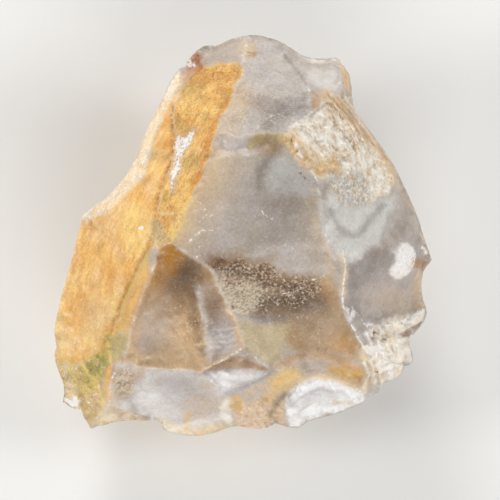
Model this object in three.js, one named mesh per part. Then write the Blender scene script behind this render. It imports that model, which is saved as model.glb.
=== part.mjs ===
// A knapped flint nodule fragment: a chunky, roughly triangular stone, rounded rind below and
// flake scars above. Millimetres, +Z up. The stone lies on a small worn flat of its rind; the
// origin is on the ground under the middle of its bounding box.
//
// The stone is two sheets that meet at the rim, its widest line. Each sheet is a height field
// over the rim's plan, divided into facets by ridges. A ridge is a smooth curve through
// points [x, y, z]. A facet is a membrane stretched over its ridges, and its bow says how
// strongly it is hollow (a flake scar) or domed (natural rind).

import * as THREE from "three";

const WIDTH = 27.2; // along X
const LENGTH = 28.9; // along Y
const THICKNESS = 20; // along Z
const UPPER_CELL = 0.64; // mesh spacing inside a facet, above
const LOWER_CELL = 1.15; // and below
const RIDGE_STEP = 0.56; // mesh spacing along a ridge
const CLEARANCE = 0.6; // least distance of an inner point to a ridge, in cells
const JITTER = 0.12; // random shift of an inner point, in cells
const JITTER_SEED = 7;
const TOUCH = 0.02; // a point this near to a ridge lies on it
const MOST_SPLITS = 12; // rounds in which ridge and rim segments are halved, at most
const RELAX_ROUNDS = 900; // of the membrane
const OVER_RELAX = 1.85; // how far past its neighbours' mean a point moves in a round
const FAR_CORNER = 400; // of the triangle that a triangulation starts from
const FAR_CORNERS = 3;
const CIRCLE_TOLERANCE = 1e-9;
const RANDOM_STEP = 1664525;
const RANDOM_SHIFT = 1013904223;
const RANDOM_RANGE = 2 ** 32;

// ---------------------------------------------------------------- the rim, anticlockwise

const RIM = [
  // blunt top
  [0.5, 14.45, 9.3], [-1.0, 14.05, 9.4], [-1.8, 13.68, 9.5], [-2.75, 13.7, 9.7],
  [-3.3, 13.35, 9.6], [-4.0, 12.5, 9.3], [-4.08, 12.2, 9.1], [-4.55, 12.0, 9.0],
  // long hollow left flank
  [-5.0, 11.4, 9.0], [-6.0, 9.3, 9.2], [-6.8, 7.7, 9.2], [-7.5, 6.0, 9.2], [-8.0, 4.9, 9.2],
  [-9.5, 3.0, 9.1], [-10.9, 1.95, 9.0], [-11.45, 1.5, 9.0], [-11.62, 0.8, 9.0],
  [-12.3, -1.7, 8.6], [-13.0, -4.2, 8.2], [-13.4, -5.8, 8.0], [-13.6, -7.0, 7.8],
  // lower left corner, with its chipped tooth and tip
  [-13.42, -7.95, 7.4], [-13.6, -8.5, 7.0], [-13.4, -9.4, 6.7], [-13.05, -10.4, 6.3],
  [-12.9, -11.35, 5.9], [-13.02, -12.0, 5.4], [-12.6, -12.3, 5.3], [-12.2, -12.52, 5.4],
  [-11.72, -12.5, 5.8], [-11.4, -13.2, 6.1], [-10.95, -13.95, 6.3],
  // scalloped foot
  [-10.2, -13.75, 6.4], [-9.3, -13.45, 6.4], [-8.0, -13.3, 6.4], [-7.0, -13.35, 6.3],
  [-6.0, -13.5, 6.2], [-5.8, -14.0, 5.9], [-5.2, -14.25, 5.7], [-4.0, -14.45, 5.7],
  [-3.0, -14.45, 5.7], [-2.0, -14.25, 5.8], [-1.0, -13.85, 5.9], [-0.1, -13.77, 6.0],
  [1.1, -13.95, 6.0], [1.9, -13.85, 6.0], [2.4, -13.55, 6.2], [3.2, -13.8, 6.0],
  [4.0, -13.9, 5.9], [4.75, -13.42, 6.1], [6.0, -13.05, 6.4],
  [7.0, -12.75, 6.5], [8.0, -12.35, 6.7], [8.6, -12.1, 6.9], [9.0, -11.6, 7.1],
  // retouched lower right corner
  [9.9, -11.15, 7.3], [10.15, -10.6, 7.5], [11.0, -10.25, 7.6], [11.5, -9.9, 7.7],
  [11.65, -9.3, 7.9], [12.05, -9.2, 8.0], [12.25, -8.9, 8.1], [12.15, -8.2, 8.2],
  [12.0, -7.4, 8.3], [12.1, -7.08, 8.4], [12.3, -7.05, 8.5], [13.1, -6.0, 8.8],
  // right flank: a bitten-out notch under a spike
  [13.27, -5.5, 8.9], [13.0, -4.6, 9.0], [12.85, -3.6, 9.1], [13.0, -2.5, 9.2],
  [13.35, -1.98, 9.2], [13.62, -1.72, 9.2], [13.47, -1.35, 9.2], [13.2, -0.6, 9.3],
  [12.85, 0.5, 9.3], [12.3, 2.0, 9.4], [10.9, 5.0, 9.4], [9.0, 7.8, 9.4], [8.0, 9.35, 9.4],
  [7.9, 10.0, 9.5], [7.75, 11.2, 9.6], [7.4, 12.0, 9.7], [7.0, 12.6, 9.7],
  [6.7, 12.78, 9.7], [5.5, 12.8, 9.6], [4.4, 12.98, 9.5],
  [3.0, 13.75, 9.4], [2.2, 14.15, 9.4], [1.4, 14.38, 9.3],
];

// ---------------------------------------------------------------- junctions of the upper ridges

const APEX = [-4.95, -0.55, 18.5]; // where the crest meets the big lower left scar
const HINGE_LEFT = [-1.7, 7.5, 17.3];
const HINGE_RIGHT = [3.4, 6.9, 18.9];
const SHOULDER_FOOT = [-10.2, -8.3, 10.9];
const SCAR_LEFT = [-8.9, -9.2, 11.8];
const SCAR_RIGHT = [-2.95, -9.7, 11.6];
const STEP_TOP = [0.1, -8.1, 13.8];
const STEP_END = [1.95, -9.65, 12.5];
const BLOCK_RIGHT = [3.8, -9.5, 12.4];
const BLOCK_FOOT = [3.1, -11.9, 9.3];
const LOW_CORNER = [-12.7, -8.9, 8.0];
const HEEL_TOP = [-9.6, -12.2, 8.7];
const RIGHT_KNEE = [7.05, -2.9, 17.6];
const RIGHT_ANKLE = [7.6, -6.1, 15.5];
const RIGHT_HEEL = [8.85, -8.4, 13.1];
const EDGE_FORK = [9.9, -6.3, 13.1];
const NOTCH_ROOT = [11.3, -7.05, 10.5];
const TOP_FORK = [5.55, 9.2, 16.2];
const TOP_SIDE = [7.2, 10.0, 13.4];
const RETOUCH = [9.6, -10.0, 10.9];
const CHIP = [11.1, -9.0, 9.9];

const UPPER_RIDGES = [
  // crest, from the top of the rim to the apex
  [[0.5, 14.45, 9.3], [0.15, 13.2, 11.3], [0.0, 11.6, 13.4], [-0.85, 9.6, 15.6], HINGE_LEFT,
    [-2.3, 5.6, 18.1], [-3.0, 3.6, 18.6], [-3.8, 2.3, 18.8], [-4.3, 0.8, 18.8], APEX],
  // shoulder between the ochre facet and the orange flank
  [[-4.08, 12.2, 9.1], [-3.95, 11.2, 10.6], [-4.6, 10.0, 11.6], [-5.0, 9.0, 12.1],
    [-4.85, 7.5, 13.2], [-5.0, 5.6, 14.6], [-5.6, 3.8, 15.6], [-5.9, 2.6, 16.2],
    [-6.1, 0.6, 16.7], [-6.7, -1.2, 16.1], [-8.1, -3.6, 14.4], [-8.8, -5.5, 13.1],
    [-9.5, -6.9, 12.1], SHOULDER_FOOT],
  // inner edge of the pale rind strip on the left flank
  [[-4.55, 12.0, 9.0], [-4.75, 10.8, 10.6], [-5.2, 9.6, 11.0], [-6.1, 7.2, 11.5],
    [-6.6, 5.9, 11.6], [-7.1, 4.8, 11.6], [-7.9, 3.8, 11.4], [-8.9, 2.7, 11.0],
    [-9.8, 1.9, 10.6], [-10.7, 1.3, 10.0], [-11.62, 0.8, 9.0]],
  // left edge of the big lower left scar
  [APEX, [-5.9, -0.9, 17.8], [-6.1, -1.9, 17.3], [-6.6, -3.2, 16.4], [-7.4, -5.1, 15.0],
    [-8.0, -6.9, 13.5], [-8.2, -8.1, 12.7], SCAR_LEFT],
  // right edge of that scar
  [APEX, [-3.6, -1.4, 18.4], [-2.2, -2.4, 18.1], [-1.5, -3.9, 17.3], [-0.9, -5.2, 16.4],
    [-0.3, -6.3, 15.4], [-0.1, -7.2, 14.6], STEP_TOP],
  // its lower edge
  [SCAR_LEFT, [-7.5, -9.2, 12.0], [-6.2, -9.4, 12.0], [-4.8, -9.5, 11.9], [-3.8, -9.5, 11.8],
    SCAR_RIGHT],
  // fold that runs down inside it
  [[-3.4, -2.9, 16.9], [-3.05, -4.3, 16.0], [-2.8, -6.0, 15.0], [-2.5, -7.4, 14.1],
    [-2.2, -8.3, 13.2]],
  // upper edge of the step scar, and its floor line
  [SCAR_RIGHT, [-2.2, -9.2, 12.1], [-1.5, -8.85, 12.6], [-0.7, -8.45, 13.2], STEP_TOP],
  [STEP_TOP, [0.9, -8.65, 13.5], [1.55, -9.1, 13.1], STEP_END],
  [SCAR_RIGHT, [-2.0, -9.5, 11.3], [-0.8, -9.45, 11.2], [0.5, -9.5, 11.5], STEP_END],
  // front lip of the step scar
  [SCAR_RIGHT, [-2.25, -10.35, 11.0], [-1.4, -11.0, 10.5], [-0.5, -10.8, 10.7],
    [0.5, -10.35, 11.1], STEP_END],
  // ochre block in the foot: left, top and right edges
  [STEP_END, [1.4, -10.45, 11.3], [1.0, -11.2, 10.3], [0.85, -11.9, 9.5], [-0.3, -12.0, 9.3],
    [-0.65, -12.6, 8.5], [-0.4, -13.3, 7.4], [-0.1, -13.77, 6.0]],
  [STEP_END, [2.8, -9.55, 12.7], BLOCK_RIGHT],
  [BLOCK_RIGHT, [4.1, -10.2, 11.4], [3.6, -11.1, 10.2], BLOCK_FOOT, [3.1, -12.8, 8.0],
    [3.2, -13.8, 6.0]],
  // upper arc of the white scar
  [BLOCK_FOOT, [3.45, -11.2, 10.0], [4.2, -10.65, 10.6], [5.1, -10.3, 11.0],
    [6.1, -10.2, 11.1], [7.1, -10.4, 10.8], [8.0, -10.85, 10.0], [8.7, -11.3, 8.9],
    [9.0, -11.6, 7.1]],
  // brow where the middle facet turns down into the foot
  [BLOCK_RIGHT, [3.9, -8.7, 13.8], [4.8, -8.25, 14.4], [6.1, -8.3, 14.3], [7.5, -8.6, 13.8],
    RIGHT_HEEL],
  // right ridge, from the hinge to the foot
  [HINGE_RIGHT, [4.1, 5.6, 19.6], [5.0, 4.3, 20.0], [5.4, 3.0, 19.8], [5.5, 1.2, 19.4],
    [5.95, -0.3, 18.9], [6.5, -1.7, 18.2], RIGHT_KNEE, [7.05, -4.8, 16.4], RIGHT_ANKLE,
    [8.3, -7.3, 14.3], RIGHT_HEEL, [9.2, -9.2, 12.0], RETOUCH, [9.95, -10.6, 9.4],
    [9.9, -11.15, 7.3]],
  // hinge between the top facet and the middle one
  [HINGE_LEFT, [-0.9, 7.05, 17.75], [0.2, 7.0, 18.15], [1.2, 7.1, 18.45], [2.3, 7.2, 18.7],
    HINGE_RIGHT],
  // edge of the rough patch, then on to the right rim
  [HINGE_RIGHT, [4.2, 8.15, 17.9], [5.0, 8.75, 17.0], TOP_FORK, [6.3, 9.75, 14.9], TOP_SIDE,
    [7.65, 9.2, 13.4], [8.3, 8.3, 12.6], [9.3, 6.9, 11.6]],
  // top facet against the top right one
  [[4.4, 12.98, 9.5], [4.05, 11.9, 12.1], [4.6, 10.6, 14.4], TOP_FORK],
  // top right facet against the narrow orange side
  [[6.7, 12.78, 9.7], [7.05, 12.0, 11.2], [7.0, 11.0, 12.7], TOP_SIDE],
  // upper edge of the hollow right facet
  [RIGHT_KNEE, [8.3, -2.0, 17.0], [9.6, -1.0, 15.6], [10.9, -0.3, 13.6], [12.1, 0.2, 11.3],
    [12.85, 0.5, 9.3]],
  // its lower edge
  [RIGHT_ANKLE, [8.7, -6.2, 14.4], EDGE_FORK, [10.8, -6.2, 12.1], [11.7, -6.05, 11.0],
    [12.6, -5.7, 9.9], [13.27, -5.5, 8.9]],
  // little scar beside the notch
  [[13.1, -6.0, 8.8], [12.5, -6.15, 9.9], [11.9, -6.5, 10.6], NOTCH_ROOT, [12.0, -7.4, 8.3]],
  // retouch facets of the lower right corner
  [EDGE_FORK, [10.25, -7.3, 12.2], [10.7, -8.3, 10.9], CHIP, [11.65, -9.3, 7.9]],
  [NOTCH_ROOT, [10.7, -6.7, 11.7], EDGE_FORK],
  [RIGHT_HEEL, [9.7, -8.1, 12.6], [10.25, -7.3, 12.2]],
  [RETOUCH, [10.3, -9.45, 10.6], CHIP],
  [RETOUCH, [10.4, -10.05, 9.6], [11.0, -10.25, 7.6]],
  // lower left corner
  [[-13.42, -7.95, 7.4], LOW_CORNER, [-12.15, -10.4, 8.1], [-11.85, -11.7, 7.6],
    [-11.72, -12.5, 5.8]],
  [LOW_CORNER, [-11.5, -9.05, 9.4], [-10.6, -8.85, 10.4], SHOULDER_FOOT],
  [SHOULDER_FOOT, [-9.6, -8.9, 11.3], SCAR_LEFT],
  [[-12.9, -11.35, 5.9], [-12.35, -11.65, 6.7], [-11.85, -11.7, 7.6]],
  [SCAR_LEFT, [-9.3, -10.2, 11.0], [-9.5, -11.2, 10.0], HEEL_TOP, [-10.3, -12.8, 7.8],
    [-10.95, -13.95, 6.3]],
  [HEEL_TOP, [-8.9, -12.35, 8.6], [-8.1, -12.8, 7.9], [-7.0, -13.35, 6.3]],
];

// [x, y] in the facet, and its bow: the membrane's Laplacian, positive where it is hollow.
const UPPER_BOWS = [
  [[1.5, 1.0], -0.06], // middle facet
  [[-5.0, -5.0], 0.62], // big lower left scar
  [[2.0, 10.5], -0.1], // top facet
  [[6.0, 11.5], -0.05], // top right facet
  [[8.5, 4.0], -0.24], // rough right side
  [[10.0, -4.0], 0.34], // hollow right facet
  [[-3.2, 8.0], 0.08], // ochre facet
  [[-10.5, -3.0], -0.16], // orange flank
  [[-7.2, 5.5], 0.1], // rind strip
  [[-6.0, -11.5], -0.12], // foot facet
  [[-0.5, -10.0], 0.5], // step scar
  [[-1.0, -12.3], 0.1], // under the step scar
  [[2.0, -11.8], -0.35], // ochre block
  [[6.0, -11.8], 0.5], // white scar
  [[6.0, -9.3], 0.12], // brow facet
  [[12.4, -6.6], 0.9], // little scar beside the notch
  [[11.5, -8.2], 0.3], // retouch facets
  [[9.6, -7.2], 0.4],
  [[-11.0, -10.8], 0.05], // green facet
  [[-9.4, -13.0], 0.5], // scar between the tip and the foot
];

// ---------------------------------------------------------------- the underside

const GROUND = [ // worn flat that the stone rests on
  [5.0, -2.6, 0], [4.0, 0.2, 0], [1.0, 1.9, 0], [-2.4, 1.2, 0], [-4.4, -1.4, 0],
  [-4.1, -4.6, 0], [-1.8, -6.4, 0], [1.6, -6.6, 0], [4.1, -5.3, 0],
];
const BACK_FORK = [6.3, 6.4, 4.0];
const HEEL_FORK = [9.2, -5.8, 3.3];
const HEEL_ARRIS = [7.2, -8.0, 2.2];
const BELT_TOP = [-1.9, 11.0, 5.2];
const BELT_FOOT = [2.6, -12.3, 3.6];
const LOWER_RIDGES = [
  // rind against the flake scar of the right side
  [[7.9, 10.0, 9.5], [7.1, 8.4, 6.3], BACK_FORK, [6.3, 3.6, 2.1], [7.0, 0.4, 1.4],
    [7.6, -2.6, 1.6], HEEL_FORK, [11.2, -7.1, 5.6], [12.0, -7.4, 8.3]],
  // rind against the scars behind the foot
  [HEEL_FORK, HEEL_ARRIS, [5.2, -9.6, 1.9], [3.3, -10.8, 2.4], BELT_FOOT,
    [2.4, -13.55, 6.2]],
  // arris between those scars
  [HEEL_ARRIS, [8.2, -9.8, 4.3], [9.0, -11.6, 7.1]],
  // scar at the back of the top
  [[-2.75, 13.7, 9.7], BELT_TOP, [-0.4, 9.2, 3.7], [2.2, 8.0, 3.0], [4.6, 7.4, 3.3],
    BACK_FORK],
  // belt where the rind turns under
  [BELT_TOP, [-3.9, 8.3, 4.2], [-5.6, 5.2, 3.6], [-7.8, 2.4, 3.7], [-10.0, -0.4, 4.1],
    [-11.1, -3.8, 4.0], [-11.4, -7.2, 3.6], [-10.6, -10.2, 3.1], [-7.9, -11.7, 2.9],
    [-4.4, -12.4, 2.8], [-0.8, -12.4, 3.0], BELT_FOOT],
];
const LOWER_BOWS = [
  [[0.0, -2.5], 0], // worn flat
  [[-8.0, -4.0], 0.12], // rind
  [[10.0, 0.5], 0.14], // flake scar of the right side
  [[10.3, -8.2], 0.02], // scars behind the foot
  [[6.0, -11.3], 0.02],
  [[2.5, 11.0], -0.1], // scar at the back of the top
  [[-9.6, 1.6], 0.2], // turned edge of the rind
];

// ---------------------------------------------------------------- curves

const toVector = ([x, y, z]) => new THREE.Vector3(x, y, z);

// Points along a smooth curve that passes through every node exactly.
function sampleCurve(nodes, closed = false) {
  const curve = new THREE.CatmullRomCurve3(nodes.map(toVector), closed, "centripetal");
  const spans = closed ? nodes.length : nodes.length - 1;
  const points = [];
  for (let span = 0; span < spans; span++) {
    const start = toVector(nodes[span]);
    const end = toVector(nodes[(span + 1) % nodes.length]);
    const run = Math.hypot(end.x - start.x, end.y - start.y);
    const steps = Math.max(1, Math.round(run / RIDGE_STEP));
    for (let i = 0; i < steps; i++) points.push(curve.getPoint((span + i / steps) / spans));
  }
  if (!closed) points.push(toVector(nodes[spans]));
  return points;
}

function insideLoop(loop, x, y) {
  let inside = false;
  for (let i = 0, j = loop.length - 1; i < loop.length; j = i++) {
    const a = loop[i];
    const b = loop[j];
    const crosses = a.y > y !== b.y > y;
    if (crosses && x < a.x + ((b.x - a.x) * (y - a.y)) / (b.y - a.y)) inside = !inside;
  }
  return inside;
}

// ---------------------------------------------------------------- triangulation in plan

// A Delaunay triangulation that grows one point at a time. Its triangles turn anticlockwise.
class Triangulation {
  constructor() {
    this.points = [
      new THREE.Vector3(-FAR_CORNER, -FAR_CORNER, 0),
      new THREE.Vector3(FAR_CORNER, -FAR_CORNER, 0),
      new THREE.Vector3(0, FAR_CORNER, 0),
    ];
    this.triangles = [[0, 1, 2]];
  }

  // Whether the point lies inside the triangle's circumcircle.
  circleHolds(triangle, point) {
    const [a, b, c] = triangle.map((i) => {
      const x = this.points[i].x - point.x;
      const y = this.points[i].y - point.y;
      return { x, y, square: x * x + y * y };
    });
    const minor = (p, q, r) => p.square * (q.x * r.y - r.x * q.y);
    return minor(a, b, c) + minor(b, c, a) + minor(c, a, b) > CIRCLE_TOLERANCE;
  }

  add(point) {
    const index = this.points.push(point) - 1;
    const kept = [];
    const border = new Map();
    for (const triangle of this.triangles) {
      if (!this.circleHolds(triangle, point)) {
        kept.push(triangle);
        continue;
      }
      const [a, b, c] = triangle;
      for (const [from, to] of [[a, b], [b, c], [c, a]]) {
        if (!border.delete(`${to},${from}`)) border.set(`${from},${to}`, [from, to]);
      }
    }
    for (const [from, to] of border.values()) kept.push([from, to, index]);
    this.triangles = kept;
    return index;
  }

  edges() {
    const found = new Set();
    for (const [a, b, c] of this.triangles) {
      for (const [from, to] of [[a, b], [b, c], [c, a]]) found.add(edgeKey(from, to));
    }
    return found;
  }
}

const edgeKey = (a, b) => (a < b ? `${a},${b}` : `${b},${a}`);

// Repeatable random numbers from 0 to 1.
function makeRandom(seed) {
  let state = seed;
  return () => {
    state = (state * RANDOM_STEP + RANDOM_SHIFT) % RANDOM_RANGE;
    return state / RANDOM_RANGE;
  };
}

// ---------------------------------------------------------------- one sheet

// Triangulates the rim's plan with every ridge as edges, and sets the heights.
// gaps lists the rim points after which an edge is missing.
function makeSheet(rim, ridges, bows, cell) {
  const net = new Triangulation();
  const placed = new Map();
  const place = (p) => {
    const key = `${p.x.toFixed(3)},${p.y.toFixed(3)}`;
    if (!placed.has(key)) placed.set(key, net.add(p));
    return placed.get(key);
  };
  const rimIndices = rim.map(place);
  let segments = ridges.flatMap((points) => {
    const indices = points.map(place);
    return indices.slice(1).map((to, i) => [indices[i], to]);
  });
  const fixedPoints = net.points.slice(FAR_CORNERS);

  fillInside(net, rim, fixedPoints, cell);
  segments = forceSegments(net, segments);
  const edges = net.edges();
  const gaps = rimIndices.flatMap((from, i) => {
    const to = rimIndices[(i + 1) % rim.length];
    return edges.has(edgeKey(from, to)) ? [] : [i];
  });

  const triangles = net.triangles
    .filter((corners) => Math.min(...corners) >= FAR_CORNERS)
    .filter((corners) => {
      const [a, b, c] = corners.map((i) => net.points[i]);
      return insideLoop(rim, (a.x + b.x + c.x) / 3, (a.y + b.y + c.y) / 3);
    });
  const fixed = new Set([...rimIndices, ...segments.flat()]);
  const walls = new Set(segments.map(([a, b]) => edgeKey(a, b)));
  relax(net.points, triangles, fixed, facetBows(net.points, triangles, walls, bows));
  return { points: net.points, triangles, rimIndices, gaps };
}

// Scatters inner points on a triangular lattice, clear of the rim and the ridges.
function fillInside(net, rim, fixedPoints, cell) {
  const random = makeRandom(JITTER_SEED);
  const rowHeight = (cell * Math.sqrt(3)) / 2;
  const gap = (CLEARANCE * cell) ** 2;
  for (let row = 0, y = -LENGTH / 2; y < LENGTH / 2; row++, y += rowHeight) {
    const shift = row % 2 ? cell / 2 : 0;
    for (let x = -WIDTH / 2 + shift; x < WIDTH / 2; x += cell) {
      const px = x + (random() - 0.5) * JITTER * cell;
      const py = y + (random() - 0.5) * JITTER * cell;
      const clear = fixedPoints.every((p) => (p.x - px) ** 2 + (p.y - py) ** 2 > gap);
      if (clear && insideLoop(rim, px, py)) net.add(new THREE.Vector3(px, py, 0));
    }
  }
}

// Splits each ridge segment that is not an edge yet, until all are: at a point it runs
// through if there is one, or else in the middle.
function forceSegments(net, segments) {
  let current = segments;
  for (let round = 0; round < MOST_SPLITS; round++) {
    const edges = net.edges();
    const missing = current.filter(([a, b]) => !edges.has(edgeKey(a, b)));
    if (!missing.length) return current;
    current = current.flatMap(([a, b]) => {
      if (edges.has(edgeKey(a, b))) return [[a, b]];
      const halfway = net.points[a].clone().lerp(net.points[b], 0.5);
      const middle = pointOnSegment(net, a, b) ?? net.add(halfway);
      return [[a, middle], [middle, b]];
    });
  }
  throw new Error("two ridges run too close together");
}

// The number of a point that lies on the segment, if there is one.
function pointOnSegment(net, a, b) {
  const start = net.points[a];
  const along = net.points[b].clone().sub(start).setZ(0);
  const length = along.length();
  along.divideScalar(length);
  const found = net.points.findIndex((p, i) => {
    if (i < FAR_CORNERS || i === a || i === b) return false;
    const run = (p.x - start.x) * along.x + (p.y - start.y) * along.y;
    const offset = (p.x - start.x) * along.y - (p.y - start.y) * along.x;
    return run > 0 && run < length && Math.abs(offset) < TOUCH;
  });
  return found < 0 ? null : found;
}

// The bow at each point, spread from each facet's seed up to its ridges.
function facetBows(points, triangles, walls, bows) {
  const beside = new Map();
  triangles.forEach(([a, b, c], t) => {
    for (const key of [edgeKey(a, b), edgeKey(b, c), edgeKey(c, a)]) {
      if (!beside.has(key)) beside.set(key, []);
      beside.get(key).push(t);
    }
  });
  const bowAt = new Float64Array(points.length);
  for (const [[x, y], bow] of bows) {
    const seed = triangles.findIndex((t) => insideLoop(t.map((i) => points[i]), x, y));
    const queue = [seed];
    const seen = new Set(queue);
    while (queue.length) {
      const [a, b, c] = triangles[queue.pop()];
      for (const i of [a, b, c]) bowAt[i] = bow;
      for (const key of [edgeKey(a, b), edgeKey(b, c), edgeKey(c, a)]) {
        if (walls.has(key)) continue;
        for (const next of beside.get(key)) {
          if (!seen.has(next)) {
            seen.add(next);
            queue.push(next);
          }
        }
      }
    }
  }
  return bowAt;
}

// Stretches the membrane: each free point moves to the mean of its neighbours, less the drop
// of its bow, which is a quarter of the bow times the neighbours' mean squared distance.
function relax(points, triangles, fixed, bowAt) {
  const neighbours = points.map(() => new Set());
  for (const [a, b, c] of triangles) {
    neighbours[a].add(b).add(c);
    neighbours[b].add(c).add(a);
    neighbours[c].add(a).add(b);
  }
  const free = [];
  points.forEach((p, i) => {
    if (fixed.has(i) || !neighbours[i].size) return;
    const around = [...neighbours[i]].map((j) => points[j]);
    const squares = around.reduce((sum, q) => sum + (p.x - q.x) ** 2 + (p.y - q.y) ** 2, 0);
    const meanSquare = squares / around.length;
    free.push({ p, around, drop: (bowAt[i] * meanSquare) / 4 });
  });
  for (let round = 0; round < RELAX_ROUNDS; round++) {
    for (const { p, around, drop } of free) {
      const mean = around.reduce((sum, q) => sum + q.z, 0) / around.length;
      p.z += OVER_RELAX * (mean - drop - p.z);
    }
  }
}

// ---------------------------------------------------------------- the closed stone

// Both sheets over the same rim, whose segments are halved until both have them as edges.
function makeStone() {
  let rim = sampleCurve(RIM, true);
  const upper = UPPER_RIDGES.map((nodes) => sampleCurve(nodes));
  const lower = LOWER_RIDGES.map((nodes) => sampleCurve(nodes));
  const ground = sampleCurve(GROUND, true);
  lower.push([...ground, ground[0]]);
  for (let round = 0; round < MOST_SPLITS; round++) {
    const top = makeSheet(rim, upper, UPPER_BOWS, UPPER_CELL);
    const bottom = makeSheet(rim, lower, LOWER_BOWS, LOWER_CELL);
    const gaps = new Set([...top.gaps, ...bottom.gaps]);
    if (!gaps.size) return closeSheets(top, bottom);
    rim = rim.flatMap((p, i) => {
      const next = rim[(i + 1) % rim.length];
      return gaps.has(i) ? [p, p.clone().lerp(next, 0.5)] : [p];
    });
  }
  throw new Error("a ridge runs too close to the rim");
}

// Joins the sheets at the rim, the lower one turned to face down, and trims the stone to size.
function closeSheets(top, bottom) {
  const positions = [];
  const numbers = new Map();
  const vertex = (p) => {
    const key = `${p.x},${p.y},${p.z}`;
    if (!numbers.has(key)) {
      numbers.set(key, positions.length / 3);
      positions.push(p.x, p.y, p.z);
    }
    return numbers.get(key);
  };
  const faces = [
    ...top.triangles.flat().map((i) => vertex(top.points[i])),
    ...bottom.triangles.flatMap((corners) => corners.toReversed().map((i) => vertex(bottom.points[i]))),
  ];
  const geometry = new THREE.BufferGeometry();
  geometry.setAttribute("position", new THREE.Float32BufferAttribute(positions, 3));
  geometry.setIndex(faces);
  geometry.computeBoundingBox();
  const { min, max } = geometry.boundingBox;
  geometry.translate(-(min.x + max.x) / 2, -(min.y + max.y) / 2, -min.z);
  geometry.scale(WIDTH / (max.x - min.x), LENGTH / (max.y - min.y), THICKNESS / (max.z - min.z));
  geometry.computeVertexNormals();
  return geometry;
}

const flint = new THREE.MeshStandardMaterial({ color: 0xb5a896, roughness: 0.45, metalness: 0 });
const stone = new THREE.Mesh(makeStone(), flint);
stone.name = "flint_nodule";

const group = new THREE.Group();
group.add(stone);

export default group;
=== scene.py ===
"""A knapped fragment of a flint nodule, seen from above: waxy grey and ochre flake scars, pale
crushed ridges and patches of gritty rind. The surface is the CAD solid, subdivided with its ridges
kept crisp, then given ripples, chips and grit; its colours are painted on by zones."""

import math

import bmesh
import bpy
import numpy as np
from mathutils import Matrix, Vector, kdtree, noise


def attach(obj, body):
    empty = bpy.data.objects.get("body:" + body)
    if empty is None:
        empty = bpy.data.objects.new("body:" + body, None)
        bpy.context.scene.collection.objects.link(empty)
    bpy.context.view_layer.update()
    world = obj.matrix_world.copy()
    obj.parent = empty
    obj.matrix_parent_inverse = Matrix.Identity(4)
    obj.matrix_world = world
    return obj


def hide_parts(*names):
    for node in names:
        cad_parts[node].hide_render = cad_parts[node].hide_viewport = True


MM = 0.001

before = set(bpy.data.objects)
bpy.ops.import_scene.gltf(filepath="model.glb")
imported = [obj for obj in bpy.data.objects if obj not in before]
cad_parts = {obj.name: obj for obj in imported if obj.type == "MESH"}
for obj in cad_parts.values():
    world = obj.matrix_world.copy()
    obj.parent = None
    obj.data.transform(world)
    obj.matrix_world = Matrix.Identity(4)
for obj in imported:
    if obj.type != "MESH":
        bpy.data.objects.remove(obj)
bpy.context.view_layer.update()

# ------------ the subdivided surface

SUBDIVISIONS = 2
SOFT_BEND = math.radians(9)  # an edge that bends less than this is smoothed away
HARD_BEND = math.radians(30)  # and one that bends more stays fully crisp
CORNER = math.radians(18)  # a ridge that turns more than this at a point keeps its corner
RIDGE_SAMPLE = 0.1  # mm between the points that stand for a ridge
ROUNDED = [  # ridges on the scarred side that are bends without an edge, in mm on the plan
    [(-3.4, -2.9), (-3.05, -4.3), (-2.8, -6.0), (-2.5, -7.4), (-2.2, -8.3)],
    [(7.05, -2.9), (8.0, -2.0), (9.5, -0.8), (11.2, 0.1), (12.3, 0.4)],
]
ROUNDED_REACH = 0.45  # mm to each side of those
MERGE = 0.004 * MM  # corners of the CAD triangles closer than this are one
CREASE_CURVE = 0.7  # below 1, so that middling bends are nearly as crisp as sharp ones
RIDGE_LEAST = 0.05  # the crispness from which an edge counts as a ridge or a valley
CREASED = 0.5  # and from which it can make a corner
RIM_TOP = 9.0  # mm; whatever is higher is on the scarred side
FINER = [  # boxes on the plan whose edges are halved once more: left, right, near and far, in mm
    (8.2, 13.9, -12.2, -4.8),  # crushed corner
    (2.8, 11.2, 1.6, 10.4),  # rough patch of rind
    (2.6, 9.2, -14.2, -9.6),  # white scar
    (-3.4, 0.4, -9.9, -2.5),  # folds beside the big scar
]
FINER_FLOOR = 7.5  # mm; the boxes reach down to just under the rim


def smooth(low, high, value):
    """0 below low, 1 above high, and a smooth step between them; low may be the greater."""
    t = np.clip((value - low) / (high - low), 0.0, 1.0)
    return t * t * (3.0 - 2.0 * t)


def path_distance(points, path):
    """Distance in mm from each point to a line through the path's points."""
    nearest = np.full(len(points), 1e9)
    for a, b in zip(path[:-1], path[1:]):
        a, b = np.array(a), np.array(b)
        run = b - a
        t = np.clip((points - a) @ run / max(run @ run, 1e-9), 0.0, 1.0)
        nearest = np.minimum(nearest, np.linalg.norm(points - a - t[:, None] * run, axis=1))
    return nearest


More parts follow.
